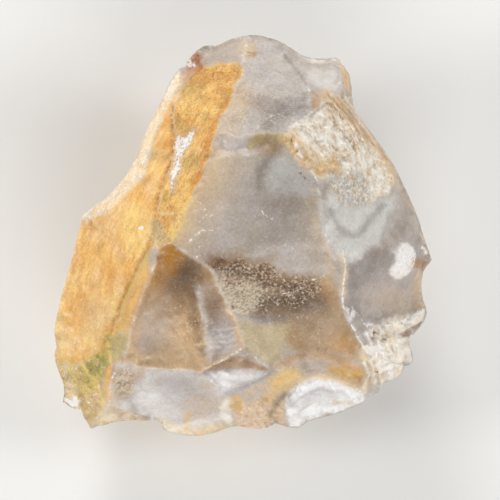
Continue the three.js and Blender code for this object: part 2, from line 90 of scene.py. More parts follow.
def crease_ridges(mesh):
    """Creases the mesh's sharp edges, and returns points along its ridges and its valleys."""
    bm = bmesh.new()
    bm.from_mesh(mesh)
    bmesh.ops.remove_doubles(bm, verts=bm.verts, dist=MERGE)
    layer = bm.edges.layers.float.new("crease_edge")
    corner_layer = bm.verts.layers.float.new("crease_vert")
    ridges, valleys = [], []
    for edge in bm.edges:
        bend = edge.calc_face_angle_signed(0.0)
        crisp = float(smooth(SOFT_BEND, HARD_BEND, abs(bend)))
        middle = (edge.verts[0].co + edge.verts[1].co) / (2 * MM)
        off = min(path_distance(np.array([middle[:2]]), path)[0] for path in ROUNDED)
        if middle.z > RIM_TOP and off < ROUNDED_REACH:
            crisp = 0.0
        edge[layer] = crisp ** CREASE_CURVE
        if crisp > RIDGE_LEAST:
            start, end = (v.co / MM for v in edge.verts)
            count = max(1, round((end - start).length / RIDGE_SAMPLE))
            samples = [(*start.lerp(end, i / count), crisp) for i in range(count + 1)]
            (ridges if bend > 0 else valleys).extend(samples)
    for vertex in bm.verts:
        arms = [e.other_vert(vertex).co - vertex.co for e in vertex.link_edges if e[layer] > CREASED]
        if len(arms) == 2 and arms[0].angle(-arms[1]) > CORNER:
            vertex[corner_layer] = 1.0
    bm.to_mesh(mesh)
    bm.free()
    return np.array(ridges), np.array(valleys)


def subdivide(stone):
    """Gives the stone a smooth surface through its CAD mesh, with the creases kept."""
    modifier = stone.modifiers.new("fine", "SUBSURF")
    modifier.levels = SUBDIVISIONS
    modifier.render_levels = SUBDIVISIONS
    shaped = stone.evaluated_get(bpy.context.evaluated_depsgraph_get())
    dense = bpy.data.meshes.new_from_object(shaped)
    stone.modifiers.clear()
    stone.data = dense


def refine(stone):
    """Halves the edges inside the boxes, for the small broken slabs and grains there."""
    bm = bmesh.new()
    bm.from_mesh(stone.data)
    middles = np.array([(edge.verts[0].co + edge.verts[1].co) / (2 * MM) for edge in bm.edges])
    x, y, z = middles.T
    wanted = np.zeros(len(middles), bool)
    for left, right, near_side, far_side in FINER:
        wanted |= (left < x) & (x < right) & (near_side < y) & (y < far_side)
    wanted &= z > FINER_FLOOR
    chosen = [edge for edge, yes in zip(bm.edges, wanted) if yes]
    bmesh.ops.subdivide_edges(bm, edges=chosen, cuts=1, use_grid_fill=True)
    bm.to_mesh(stone.data)
    bm.free()


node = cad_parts["flint_nodule"]
stone = bpy.data.objects.new("flint", node.data.copy())
bpy.context.scene.collection.objects.link(stone)
ridge_points, valley_points = crease_ridges(stone.data)
subdivide(stone)
refine(stone)

count = len(stone.data.vertices)
flat = np.empty(count * 3)
stone.data.vertices.foreach_get("co", flat)
place = flat.reshape(-1, 3) / MM
stone.data.vertex_normals.foreach_get("vector", flat)
normal = flat.reshape(-1, 3).copy()
plan = place[:, :2]  # a view of place, so it moves along when the relief is added
RIM_TURN = 0.12  # how far a normal leans up or down while the rim's two sides blend
above = smooth(-RIM_TURN, RIM_TURN, normal[:, 2])  # 1 on the scarred side, 0 on the underside
below = 1.0 - above

# ------------ noise, masks


def cloud(size, octaves=3, shift=0.0, at=None):
    """Fractal noise of about -1 to 1 whose largest lumps are about size mm across."""
    points = place if at is None else at
    scaled = (points + shift) / size
    return np.array([noise.fractal(Vector(p), 1.0, 2.0, octaves) for p in scaled])


def cells(size, shift=0.0):
    """Distance to the nearest of scattered points about size mm apart, from 0 to about 1."""
    return np.array([noise.voronoi(Vector(p))[0][0] for p in (place + shift) / size])


def drawn_out(angle, stretch):
    """The positions, turned so that noise read at them runs stretch times longer along the angle."""
    c, s = math.cos(math.radians(angle)), math.sin(math.radians(angle))
    x, y, z = place.T
    return np.column_stack([(c * x + s * y) / stretch, c * y - s * x, z])


def blocks(size, shift, angle, stretch):
    """A fractured surface of splinters about size mm wide, drawn out along the angle: each one's
    sloping height, about -1 to 1, and each one's tone, 0 to 1."""
    heights, tones = np.empty(count), np.empty(count)
    for i, point in enumerate((drawn_out(angle, stretch) + shift) / size):
        centre = noise.voronoi(Vector(point))[1][0]
        slope = noise.cell_vector(centre * 5.1) - Vector((0.5, 0.5, 0.5))
        heights[i] = noise.cell(centre * 13.7) - 0.5 + 2.0 * slope.dot(Vector(point) - centre)
        tones[i] = noise.cell(centre * 3.3)
    return heights, tones


sway = np.column_stack([cloud(1.1, 4, 11.0), cloud(1.1, 4, 37.0)])
fine_sway = np.column_stack([cloud(0.35, 2, 5.0), cloud(0.35, 2, 71.0)])


def swayed(wobble):
    """The plan position with irregular edges drawn into it, wobble mm deep."""
    return plan + wobble * (sway + 0.5 * fine_sway)


def inside(points, outline):
    """Whether each point lies within the closed outline."""
    found = np.zeros(len(points), bool)
    x, y = points.T
    for (ax, ay), (bx, by) in zip(outline, outline[1:] + outline[:1]):
        if ay != by:
            crosses = (ay > y) != (by > y)
            found ^= crosses & (x < ax + (bx - ax) * (y - ay) / (by - ay))
    return found


def area(outline, feather=0.4, wobble=0.25):
    """1 well inside the outline and 0 well outside it, on the scarred side."""
    points = swayed(wobble)
    away = path_distance(points, outline + outline[:1])
    signed = np.where(inside(points, outline), away, -away)
    return smooth(-feather, feather, signed) * above


def line(path, width, wobble=0.1):
    """A stroke along the path, width mm wide, on the scarred side."""
    away = path_distance(swayed(wobble), path)
    return np.exp(-((away / (0.5 * width)) ** 2)) * above


def spot(x, y, across, along, turn=0.0, wobble=0.2, feather=0.45):
    """An oval of those half widths in mm, turned by degrees."""
    c, s = math.cos(math.radians(turn)), math.sin(math.radians(turn))
    dx, dy = (swayed(wobble) - np.array([x, y])).T
    reach = np.hypot((c * dx + s * dy) / across, (c * dy - s * dx) / along)
    return smooth(1.0 + feather, 1.0 - feather, reach) * above


def near(samples, reach):
    """How near each vertex is to a crisp one of the samples: 1 on it, fading over reach mm."""
    tree = kdtree.KDTree(len(samples))
    for i, sample in enumerate(samples):
        tree.insert(Vector(sample[:3]), i)
    tree.balance()
    found = [tree.find(Vector(p)) for p in place]
    distance = np.array([f[2] for f in found])
    crisp = samples[[f[1] for f in found], 3]
    return crisp * np.exp(-((distance / reach) ** 2))


# The first of these carries the painted highlights along the crests and the last the painted shade in the
# valleys; the middle one places the chips.
ridge_highlight = near(ridge_points, 0.17)
by_ridge = near(ridge_points, 0.7)
valley_shade = near(valley_points, 0.35)

# ------------ zones, in mm on the plan

CREST = [(0, 12.2), (0, 11.4), (-0.56, 10.8), (-0.84, 9.8), (-1.07, 9.0), (-1.5, 8.3), (-1.87, 7.07),
         (-2.33, 5.85), (-2.6, 5.1), (-2.85, 4.0), (-3.45, 3.0), (-3.83, 2.3), (-4.0, 1.45),
         (-4.3, 0.7), (-4.76, -0.32), (-5.04, -0.6)]
CREASE = [(-4.9, 9.0), (-4.9, 8.0), (-4.85, 7.0), (-4.95, 6.0), (-5.1, 5.0), (-5.3, 4.5), (-5.8, 3.2),
          (-6.05, 2.0), (-6.1, 1.0), (-6.3, 0.2), (-6.6, -0.8), (-7.3, -2.0), (-8.0, -3.5),
          (-8.5, -4.5), (-8.8, -5.5), (-9.2, -6.5), (-9.8, -7.5), (-10.2, -8.5), (-10.5, -9.0)]
SCAR_LEFT = [(-5.97, -0.74), (-5.97, -1.5), (-6.07, -2.2), (-6.44, -3.0), (-6.8, -3.8), (-7.1, -4.5),
             (-7.45, -5.25), (-7.84, -5.95), (-8.0, -7.0), (-8.2, -8.2), (-8.6, -8.7), (-8.9, -9.1)]
SCAR_RIGHT = [(-5.04, -0.6), (-4.2, -1.15), (-3.3, -1.6), (-2.3, -2.3), (-1.96, -2.75), (-1.6, -3.8),
              (-1.2, -4.7), (-0.75, -5.35), (-0.4, -5.8), (-0.15, -7.0), (0.1, -8.0)]
SCAR_FOOT = [(-8.5, -9.0), (-7.3, -9.3), (-5.8, -9.48), (-3.9, -9.54), (-2.9, -9.78)]
RIM_STRIP = [(-4.3, 11.7), (-4.9, 10.2), (-5.7, 8.5), (-6.4, 6.5), (-7.0, 4.3), (-8.2, 3.2),
             (-9.5, 1.9), (-11.0, 1.05), (-11.5, 1.2)]
ROUGH_PATCH = [(3.2, 6.8), (3.3, 7.4), (3.8, 8.0), (5.0, 8.5), (5.6, 9.0), (5.8, 9.8), (7.0, 9.0),
               (8.0, 7.8), (9.0, 6.7), (10.0, 5.5), (10.7, 4.5), (10.8, 4.0), (10.5, 3.3),
               (9.5, 2.5), (8.5, 2.1), (7.5, 2.0), (6.6, 2.1), (6.2, 2.7), (6.0, 3.7), (5.6, 4.1),
               (5.0, 4.6), (4.2, 5.3), (3.5, 6.2)]
FURROWS = [[(5.9, 9.5), (6.7, 8.7), (7.3, 7.8)], [(6.1, 9.9), (7.1, 8.9), (7.9, 7.9), (8.3, 7.2)],
           [(6.6, 9.8), (7.6, 8.7), (8.6, 7.5), (9.3, 6.5)], [(6.1, 6.5), (6.7, 5.9), (7.2, 5.3)],
           [(6.5, 8.0), (7.2, 7.1), (7.9, 6.2)], [(7.4, 7.4), (7.8, 6.6), (8.0, 5.8)],
           [(7.0, 9.8), (7.8, 8.9), (8.6, 8.0), (9.6, 6.8), (10.3, 5.5)]]
SPLINTERS = [[(9.0, -6.9), (9.5, -7.6), (9.9, -8.4), (10.0, -9.4)],
             [(10.0, -6.4), (10.4, -7.3), (10.8, -8.4)],
             [(9.6, -6.6), (10.2, -7.9), (10.5, -8.9)], [(11.3, -7.0), (11.2, -7.8), (11.0, -8.8)],
             [(9.9, -9.3), (10.6, -9.0), (11.6, -9.2)], [(9.8, -10.0), (10.4, -9.6), (11.2, -9.5)],
             [(9.3, -8.9), (9.6, -9.8), (9.7, -10.6)], [(8.9, -9.0), (9.2, -9.9), (9.0, -10.8)]]
OVAL = [(11.2, -0.45), (11.6, -0.4), (12.0, -0.75), (12.3, -1.3), (12.2, -1.9), (11.8, -2.5),
        (11.2, -2.95), (10.7, -2.98), (10.35, -2.65), (10.4, -2.25), (10.75, -1.8), (10.8, -1.2),
        (10.95, -0.75)]
CRUSHED = [(8.6, -7.6), (9.6, -6.6), (10.4, -6.0), (12.4, -5.8), (13.4, -5.2), (12.6, -8.0),
           (12.4, -10.8), (9.8, -11.4), (9.0, -9.2)]
WHITE_SCAR = [(3.0, -11.6), (3.4, -11.0), (4.0, -10.5), (5.0, -10.15), (6.0, -10.2), (6.8, -10.4),
              (7.8, -10.9), (8.6, -11.3), (9.0, -12.0), (6.0, -13.6), (3.3, -13.9), (3.2, -12.7)]
OCHRE_BLOCK = [(-0.6, -12.0), (1.0, -11.7), (2.2, -11.5), (3.1, -12.0), (3.2, -14.2), (-0.6, -14.2)]
GREEN_CORNER = [(-10.2, -8.6), (-9.3, -6.9), (-9.9, -9.3), (-9.9, -12.0), (-11.3, -13.0),
                (-13.6, -12.4), (-13.8, -9.0), (-12.3, -8.9)]
OCHRE_FACET = [(-2.9, 12.1), (-0.3, 12.3)] + CREST + [(-5.97, -0.74)] + CREASE[10::-1] + [(-4.2, 10.8)]
FLANK = CREASE + [(-12.5, -9.0), (-14.5, -9.0), (-14.5, 1.5), (-12, 1.5)]
FLANK += RIM_STRIP[::-1] + [(-4.7, 10)]
RIND_STRIP = RIM_STRIP + [(-12.5, 2.0), (-9.5, 5.0), (-8.0, 9.0), (-5.5, 13.0)]
BIG_SCAR = SCAR_LEFT + SCAR_FOOT + SCAR_RIGHT[::-1]
FOOT = [(-9.0, -9.3)] + SCAR_FOOT
FOOT += [(-1.3, -11.0), (-0.8, -12.0), (-0.8, -15), (-11.0, -15), (-9.8, -12)]
STEP_SCAR = [(-2.9, -9.6), (-1.9, -9.1), (-0.9, -8.6), (-0.2, -8.4), (1.0, -8.9), (1.95, -9.6),
             (1.7, -10.1), (1.0, -11.6), (-0.6, -11.8), (-1.6, -11.0)]
STEP_WALL = [(-2.7, -9.5), (-1.96, -9.05), (-0.93, -8.6), (-0.2, -8.5), (1.0, -8.95), (1.9, -9.6),
             (0.5, -9.45), (-1.0, -9.4)]
BROW = [(2.0, -9.2), (3.0, -8.7), (4.0, -8.35), (5.0, -8.15), (6.6, -8.5), (7.6, -8.8), (9.0, -10.1),
        (8.4, -11.1), (6.6, -10.2), (5.0, -10.0), (3.9, -10.3), (3.8, -9.6)]
HOLLOW_FACET = [(7.2, -2.0), (9.2, -1.0), (12.6, 0.3), (13.6, -1.8), (13.2, -5.4), (9.8, -6.1),
                (7.9, -5.6), (7.2, -4.0)]
TOP_FACET = [(0.0, 14.6), (-0.2, 12.0), (-0.9, 9.6), (-1.7, 7.5), (3.3, 7.2), (5.6, 9.2), (4.4, 11.0),
             (4.3, 13.3), (2.0, 14.8)]
TOP_SIDE = [(6.9, 12.9), (7.1, 11.5), (7.3, 10.8), (7.7, 9.6), (8.6, 9.2), (8.4, 12.0)]
AMBER_LINED_CREASE = [(-4.9, 9.2)] + CREASE[1:]
LEDGE_FOOT = [(-1.3, 6.1), (-0.8, 5.85), (-0.2, 6.0)]
FOLD_END = [(-2.0, -9.1), (-1.0, -8.5), (-0.1, -8.0)]
FOLD_RIPPLES = [[(-2.6, y), (-2.0, y + 0.12), (-1.2, y + 0.05), (-0.5, y + 0.3)]
                for y in (-6.7, -7.1, -7.5, -7.95)]
CREST_HAIR = [(-3.7, -0.3), (-3.2, 0.1), (-2.7, 0.45), (-2.0, 0.4)]
CREST_HAIRS = [[(-3.6 - 0.2 * y, y - 0.3), (-3.0, y), (-2.5, y + 0.1), (-2.2, y + 0.4)]
               for y in (2.4, 1.8, 1.1, -0.9, -1.4)]
SWEEP_CENTRE = (1.2, -17.0)  # the arcs across the brow are rings round this point
SWEEPS = [[(SWEEP_CENTRE[0] + reach * math.cos(math.radians(a)),
            SWEEP_CENTRE[1] + reach * math.sin(math.radians(a))) for a in range(38, 84, 6)]
          for reach in (8.3, 9.1, 9.9)]

FIBRE_TURN = 62.0  # degrees; how the fibres of the ochre facets run
SPLINTER_TURN = -64.0
CRUMB_TURN = -40.0
SCRATCH_TURN = -47.0

rough = area(ROUGH_PATCH, 0.25, 0.3)
oval = area(OVAL, 0.1, 0.05)
crushed = area(CRUSHED, 0.4, 0.3)
white_scar = area(WHITE_SCAR, 0.15, 0.1)
ochre_block = area(OCHRE_BLOCK, 0.25, 0.2)
green_corner = area(GREEN_CORNER, 0.6, 0.5)
ochre_facet = area(OCHRE_FACET, 0.15, 0.08)
flank = area(FLANK, 0.3, 0.15)
rind_strip = area(RIND_STRIP, 0.25, 0.2)
big_scar = area(BIG_SCAR, 0.15, 0.05)
foot = area(FOOT, 0.3, 0.1)
step_scar = area(STEP_SCAR, 0.15, 0.08)
step_wall = area(STEP_WALL, 0.12, 0.05)
brow = area(BROW, 0.2, 0.1)
hollow = area(HOLLOW_FACET, 0.4, 0.2)
fold_side = area([(-3.1, -3.4), (-2.0, -3.2), (-1.4, -4.6), (-0.6, -6.0), (-0.4, -7.9), (-2.2, -8.3),
                  (-2.6, -6.4)], 0.5, 0.1)
sliver = area([(7.1, -4.9), (8.0, -5.1), (8.6, -6.2), (9.0, -7.0), (9.05, -8.1), (8.5, -7.6),
               (7.9, -6.8), (7.3, -5.8)], 0.12, 0.08)
tooth = area([(10.9, -7.1), (12.0, -7.2), (12.4, -9.2), (11.2, -9.1)], 0.2, 0.1)
green_facet = area([(-8.9, -6.8), (-8.2, -6.7), (-8.05, -7.6), (-8.3, -8.4), (-8.8, -9.0), (-9.3, -8.9),
                    (-9.4, -7.6)], 0.12, 0.1)
top_facet = area(TOP_FACET, 0.5, 0.4)
top_side = area(TOP_SIDE, 0.2, 0.1)
speckled_band = area([(-1.8, -1.7), (-0.5, -1.6), (1.5, -1.7), (3.2, -2.6), (5.6, -2.9), (5.6, -4.2),
                      (3.5, -5.2), (1.0, -5.4), (-0.8, -5.2), (-1.7, -3.6)], 0.4, 0.5)

# ------------ relief, in mm

lumps = cloud(3.2, 3, 3.0)
grain = cloud(0.42, 3, 19.0)
pits = cells(0.75, 8.0)
small_pits = cells(0.38, 2.0)


def ripples(x, y, spacing, depth):
    """Rings round the point of percussion, as a blow leaves them in flint."""
    reach = np.hypot(plan[:, 0] - x, plan[:, 1] - y) + 0.35 * sway[:, 0]
    return depth * np.sin(2 * math.pi * reach / spacing)


BROKEN_OUTLINE = [(13.3, -5.3), (12.0, -7.1), (12.3, -9.0), (10.1, -10.8), (8.6, -12.0), (4.8, -13.2)]
broken_height, broken_tone = blocks(1.05, 4.0, SPLINTER_TURN, 2.2)
crumb_height, crumb_tone = blocks(0.42, 17.0, CRUMB_TURN, 1.5)
inward = smooth(0.0, 0.9, path_distance(plan, BROKEN_OUTLINE))
scratches = cloud(0.34, 3, 12.0, drawn_out(SCRATCH_TURN, 6.0))

GRAINED = [  # zone, and how deep its grain is
    (rough, 0.08), (oval, 0.05), (ochre_block, 0.08), (green_corner, 0.09), (ochre_facet, 0.05),
    (flank, 0.035), (rind_strip, 0.06), (top_facet, 0.06), (speckled_band, 0.06), (below, 0.05),
]
LUMPY = [  # zone, how high its lumps are, and the noise that they follow
    (foot, 0.08, cloud(1.4, 3, 72.0)),
    (ochre_facet, 0.09, cloud(1.2, 3, 9.0)),
    (flank, 0.08, cloud(1.1, 3, 15.0, drawn_out(FIBRE_TURN, 3.0))),
    (top_facet, 0.08, cloud(1.0, 3, 28.0)),
    (below, 0.12, cloud(1.8, 3, 33.0)),
]
RIPPLED = [  # scar, where the blow fell on the plan, and the rings' spacing and depth
    (big_scar, -5.6, 0.6, 1.7, 0.03), (fold_side, -2.6, -1.5, 0.62, 0.03), (hollow, 6.4, -1.5, 1.4, 0.04),
    (white_scar, 5.8, -14.4, 0.8, 0.07), (step_scar, -0.3, -8.2, 0.75, 0.03),
    (foot, -4.5, -9.0, 1.9, 0.05), (brow, 5.2, -11.5, 0.7, 0.05),
]
RAISED = [  # line, its height (below zero is cut in), its width and its wobble
    (AMBER_LINED_CREASE[:17], -0.12, 0.35, 0.1),
    ([(-1.6, 7.0), (-0.2, 6.75), (0.8, 6.9), (1.9, 7.1), (3.0, 7.0)], 0.18, 0.5, 0.15),
    (LEDGE_FOOT + [(0.8, 6.1), (1.8, 6.5)], -0.14, 0.6, 0.15),
    (CREST_HAIR, 0.08, 0.3, 0.08),
    (FOLD_END, 0.12, 0.3, 0.08),
]
RAISED += [(path, 0.06, 0.22, 0.1) for path in FOLD_RIPPLES]
RAISED += [(path, -0.16, 0.3, 0.12) for path in FURROWS]

relief = 0.14 * lumps + 0.06 * cloud(1.3, 3, 88.0) + 0.012 * grain
for zone, depth in GRAINED:
    relief += zone * depth * grain
for zone, height, noisy in LUMPY:
    relief += zone * height * noisy
for zone, x, y, spacing, depth in RIPPLED:
    relief += zone * ripples(x, y, spacing, depth)
for path, height, width, wobble in RAISED:
    relief += height * line(path, width, wobble)
relief += rough * (0.12 * (smooth(0.15, 0.6, pits) - 0.7) + 0.06 * small_pits + 0.16 * scratches)
relief += 0.14 * oval
slabs = 0.32 * broken_height + 0.05 * crumb_height
relief += crushed * (0.25 + 0.75 * inward) * slabs * (1.0 - 0.8 * tooth)
relief -= 0.2 * np.max([line(splinter, 0.3, 0.08) for splinter in SPLINTERS], axis=0)
relief += 0.16 * sliver
relief += 0.16 * ochre_block * crumb_height
relief += 0.05 * speckled_band * small_pits
relief -= 0.1 * below * smooth(0.35, 0.1, pits)
chips = smooth(0.0, 0.5, cloud(0.8, 3, 61.0))
relief -= by_ridge * above * (0.12 * chips + 0.02)

OUTLINE_SHARE = 0.15  # of the relief is left where the surface stands upright, so the outline stays true
relief *= smooth(0.15, 0.9, place[:, 2])  # none on the flat that the stone rests on
relief *= OUTLINE_SHARE + (1.0 - OUTLINE_SHARE) * smooth(0.05, 0.5, np.abs(normal[:, 2]))
place += relief[:, None] * normal
place[:, 2] = np.maximum(place[:, 2], 0.0)
stone.data.vertices.foreach_set("co", (place * MM).ravel())
stone.data.update()

# ------------ colours


def shade(red, green, blue):
    """A screen colour, 0 to 255, as linear light."""
    values = np.array([red, green, blue]) / 255.0
    return np.where(values <= 0.04045, values / 12.92, ((values + 0.055) / 1.055) ** 2.4)


GREY = shade(184, 171, 157)
DEEP_GREY = shade(132, 124, 118)
STONE = shade(166, 156, 150)
STEEL = shade(178, 178, 174)
PALE = shade(212, 212, 208)
LILAC = shade(194, 189, 190)
LIGHT = shade(218, 214, 210)
WHITE = shade(246, 244, 242)
CHALK = shade(250, 244, 230)
CREAM = shade(246, 222, 180)
SAND = shade(212, 184, 146)
STRAW = shade(192, 174, 134)
TAN = shade(176, 140, 102)
OCHRE = shade(230, 184, 100)
ORANGE = shade(236, 182, 98)
DEEP_ORANGE = shade(206, 142, 58)
YELLOW = shade(246, 212, 132)
OLIVE = shade(176, 158, 92)
GREEN = shade(150, 148, 62)
AMBER = shade(186, 128, 12)
BROWN = shade(108, 82, 56)
RUST = shade(172, 98, 42)
DARK = shade(58, 44, 32)
PURE_WHITE = shade(250, 250, 250)
IVORY = shade(246, 238, 224)
SHELL = shade(240, 224, 198)
PEACH = shade(240, 214, 186)
PALE_OCHRE = shade(232, 196, 130)
LIME = shade(226, 202, 116)
BUFF = shade(216, 180, 136)
HONEY = shade(214, 166, 84)
BISCUIT = shade(206, 156, 90)
GOLD = shade(182, 122, 0)
TAWNY = shade(166, 132, 86)
UMBER = shade(152, 122, 94)
BISTRE = shade(148, 118, 78)
SEPIA = shade(136, 100, 62)

tint = np.tile(GREY, (count, 1))


def paint(colour, mask, strength=1.0):
    """Lays the colour over what is painted already, where the mask is 1."""
    global tint
    tint = tint + (np.clip(mask * strength, 0.0, 1.0))[:, None] * (colour - tint)


def stroke(colour, strength, *shape):
    """Paints along a path: its points, the width and the wobble, as line takes them."""
    paint(colour, line(*shape), strength)


def patch(colour, strength, *shape):
    """Paints inside an outline: its points, the feather and the wobble, as area takes them."""
    paint(colour, area(*shape), strength)


def dab(colour, strength, *shape):
    """Paints an oval: x, y, its half widths, turn, wobble and feather, as spot takes them."""
    paint(colour, spot(*shape), strength)


def mottle(size, low, high, shift=0.0, octaves=4):
    """A patchy mask: 1 in blotches about size mm across."""
    return smooth(low, high, cloud(size, octaves, shift))


blotch = mottle(1.6, -0.25, 0.45, 90.0)
specks = mottle(0.45, 0.05, 0.4, 44.0)
fibres = smooth(0.0, 0.45, cloud(0.5, 4, 21.0, drawn_out(FIBRE_TURN, 4.0)))
pale_fibres = smooth(0.0, 0.45, cloud(0.6, 4, 57.0, drawn_out(FIBRE_TURN, 4.0)))
streaks = smooth(-0.05, 0.35, scratches)

# Each part of the stone is painted in turn, and later paint lies over earlier. Places and sizes are in
# mm on the plan.

# middle facet and all that nothing else covers
paint(LILAC, above * mottle(3.5, -0.2, 0.5, 7.0), 0.4)
dab(SAND, 0.5, -2.4, 3.2, 1.4, 3.6, -20, 0.2, 0.8)
dab(DEEP_GREY, 0.2, 0.6, 1.2, 1.7, 3.4, 0, 0.4, 0.9)
dab(DEEP_GREY, 0.6, 2.9, 2.2, 1.7, 1.5, 0, 0.3, 0.8)
dab(STEEL, 0.75, 2.9, 4.3, 1.5, 1.4, 15, 0.25, 0.5)
stroke(DEEP_GREY, 0.75, [(2.3, 5.9), (1.7, 5.3), (1.25, 4.4), (1.2, 3.4)], 0.8)
dab(STEEL, 0.6, 4.4, 3.6, 0.7, 0.8, 0, 0.3)
dab(DEEP_GREY, 0.35, 2.6, -0.2, 2.0, 0.9, 0, 0.4, 0.8)
paint(STRAW, area([(4.2, 3.1), (5.1, 3.3), (5.2, 1.5), (4.8, 1.3)], 0.25, 0.2) * specks, 0.8)
stroke(SAND, 0.4, [(5.2, 1.2), (5.5, 0.0), (6.1, -1.2), (6.3, -2.4)], 0.6, 0.15)
patch(TAWNY, 0.92, [(1.5, -5.2), (3.6, -4.0), (6.0, -3.0), (7.0, -4.4), (8.5, -7.9), (6.0, -8.4),
                    (3.4, -8.0), (2.2, -5.9)], 0.4, 0.15)
patch(BROWN, 0.45, [(3.0, -4.2), (5.8, -4.2), (6.0, -5.6), (4.4, -6.6), (2.6, -6.0)], 0.8, 0.3)
patch(STRAW, 0.85, [(-0.4, -5.8), (0.4, -6.0), (2.2, -6.1), (3.2, -6.4), (3.0, -7.6), (2.6, -9.0),
                    (1.8, -9.1), (0.2, -8.3), (-0.1, -7.4)], 0.45, 0.2)
stroke(DEEP_GREY, 0.55, [(0.8, -5.6), (2.0, -5.7), (3.0, -5.9)], 0.7, 0.25)
patch(STRAW, 0.75, [(4.6, -3.1), (6.1, -2.6), (6.5, -3.4), (5.3, -3.5)], 0.2, 0.12)
dab(AMBER, 0.5, 5.9, -3.9, 0.8, 0.9, 0, 0.25, 0.7)
dab(BISCUIT, 0.6, 7.4, -8.0, 1.3, 0.7, -20, 0.3, 0.7)
stroke(SAND, 0.55, [(x + 0.5, y) for x, y in CREST[2:]], 1.4, 0.3)

# top facets
paint(LIGHT, top_facet, 0.5)
dab(SAND, 0.7, -0.3, 9.2, 0.8, 1.7, -15, 0.3, 0.6)
dab(TAN, 0.4, 1.2, 9.4, 1.1, 0.8, 0, 0.3, 0.7)
dab(DEEP_GREY, 0.8, 2.5, 8.7, 1.2, 1.1, 25, 0.6, 0.95)
dab(DEEP_GREY, 0.7, 4.0, 9.0, 0.8, 0.9, 0, 0.6, 0.95)
dab(LIGHT, 0.4, 3.6, 8.2, 0.6, 0.35, 30, 0.4, 0.8)
stroke(LILAC, 0.6, [(-2.2, 6.7), (-0.8, 6.4), (0.4, 6.2)], 1.0, 0.3)
dab(BROWN, 0.3, 1.7, 7.8, 0.5, 0.3)
paint(DEEP_GREY, top_facet * blotch, 0.2)
patch(LIGHT, 0.8, [(4.5, 11.8), (6.6, 12.0), (6.9, 10.4), (5.6, 10.2), (4.6, 11.0)], 0.3)
dab(BISTRE, 0.8, 1.9, 6.4, 1.4, 0.6, 5, 0.3, 0.9)
stroke(OLIVE, 0.65, [(0.5, 6.1), (0.8, 6.6), (1.5, 6.95), (2.3, 7.0), (3.2, 6.9)], 0.45, 0.15)
dab(SAND, 0.8, 0.4, 13.3, 0.7, 0.8)
paint(TAN, spot(0.5, 12.9, 0.5, 0.3) * specks, 0.8)
patch(CHALK, 0.8, [(4.2, 13.0), (5.0, 12.3), (6.8, 12.6), (6.9, 13.5)], 0.2)
paint(OCHRE, top_side, 0.85)
patch(TAN, 0.85, [(4.7, 10.4), (5.3, 10.0), (5.6, 9.3), (5.4, 8.7), (4.9, 8.7), (4.9, 9.6)], 0.12, 0.1)
stroke(BROWN, 0.4, [(2.9, 13.0), (3.4, 12.4), (4.1, 11.4), (4.6, 10.5)], 0.25)
patch(GREY, 0.9, [(-2.8, 12.1), (-0.8, 12.2), (-0.6, 14.3), (-2.8, 14.0)], 0.2)

# ochre facet beside the crest
paint(OCHRE, ochre_facet)
paint(YELLOW, ochre_facet * mottle(1.3, -0.1, 0.4, 77.0), 0.65)
paint(DEEP_ORANGE, ochre_facet * fibres, 0.5)
paint(DEEP_ORANGE, ochre_facet * mottle(0.9, 0.0, 0.5, 90.0), 0.4)
paint(OLIVE, ochre_facet * mottle(1.9, 0.1, 0.5, 49.0), 0.4)
stroke(DEEP_ORANGE, 0.7, [(-0.9, 9.9), (-1.2, 9.2), (-1.5, 8.5), (-2.0, 7.9), (-2.4, 6.5), (-2.7, 5.3),
                          (-3.0, 4.3), (-3.5, 3.8)], 0.4)
paint(DEEP_ORANGE, spot(-1.5, 10.6, 0.8, 1.6, -30) * specks, 0.7)
stroke(YELLOW, 0.7, [(-3.9, 2.6), (-4.4, 1.2), (-5.0, 0.0), (-5.5, -0.6)], 0.9, 0.2)
patch(LILAC, 0.8, [(-4.7, 7.1), (-3.9, 7.2), (-3.3, 7.5), (-3.6, 6.7), (-3.9, 6.0), (-4.3, 5.5),
                   (-4.45, 4.6), (-4.7, 3.8), (-4.95, 3.1), (-5.15, 4.1), (-4.9, 5.0), (-4.75, 6.0)],
      0.25, 0.25)
dab(RUST, 0.85, -3.3, 12.4, 0.55, 0.7)
dab(DEEP_ORANGE, 0.5, -3.3, 11.4, 0.9, 0.7)

# orange flank, with its pale rind strip
paint(ORANGE, flank)
paint(YELLOW, flank * mottle(2.4, -0.2, 0.4, 66.0), 0.6)
paint(YELLOW, flank * pale_fibres, 0.5)
paint(CREAM, flank * mottle(3.2, -0.1, 0.5, 18.0), 0.4)
paint(DEEP_ORANGE, flank * fibres * smooth(-8.0, -3.0, plan[:, 1]), 0.45)
paint(DEEP_ORANGE, flank * mottle(1.3, 0.05, 0.5, 90.0), 0.3)
dab(YELLOW, 0.7, -7.6, 0.6, 1.1, 1.8)
dab(SAND, 0.4, -10.4, -5.6, 1.2, 1.6, -20, 0.4, 0.8)
patch(OCHRE, 0.9, CREASE[10:] + SCAR_LEFT[:2:-1], 0.3, 0.15)
stroke(OLIVE, 0.45, [(-6.4, -0.6), (-7.2, -2.6), (-8.2, -4.8), (-8.8, -6.6), (-9.3, -8.2)], 0.5, 0.25)
stroke(DEEP_ORANGE, 0.6, [(-6.2, -2.2), (-7.2, -4.4), (-8.0, -6.2)], 0.4, 0.2)
stroke(DEEP_ORANGE, 0.6, [(-7.4, -3.6), (-8.3, -5.4), (-9.0, -7.0)], 0.25, 0.15)
stroke(DEEP_ORANGE, 0.4, [(-12.2, -2.2), (-11.6, -3.9), (-11.3, -5.4)], 0.3, 0.3)
paint(CREAM, rind_strip)
paint(SAND, rind_strip * blotch, 0.5)
paint(CHALK, rind_strip * mottle(1.2, 0.0, 0.4, 25.0), 0.5)
patch(CREAM, 0.6, [(-12.5, -2.0), (-12.9, -3.8), (-13.5, -6.5), (-15, -6), (-15, 1), (-11.5, 1.5)], 0.5)
# an amber line along the crease between the ochre facet and the flank
stroke(AMBER, 0.7, AMBER_LINED_CREASE, 0.25)

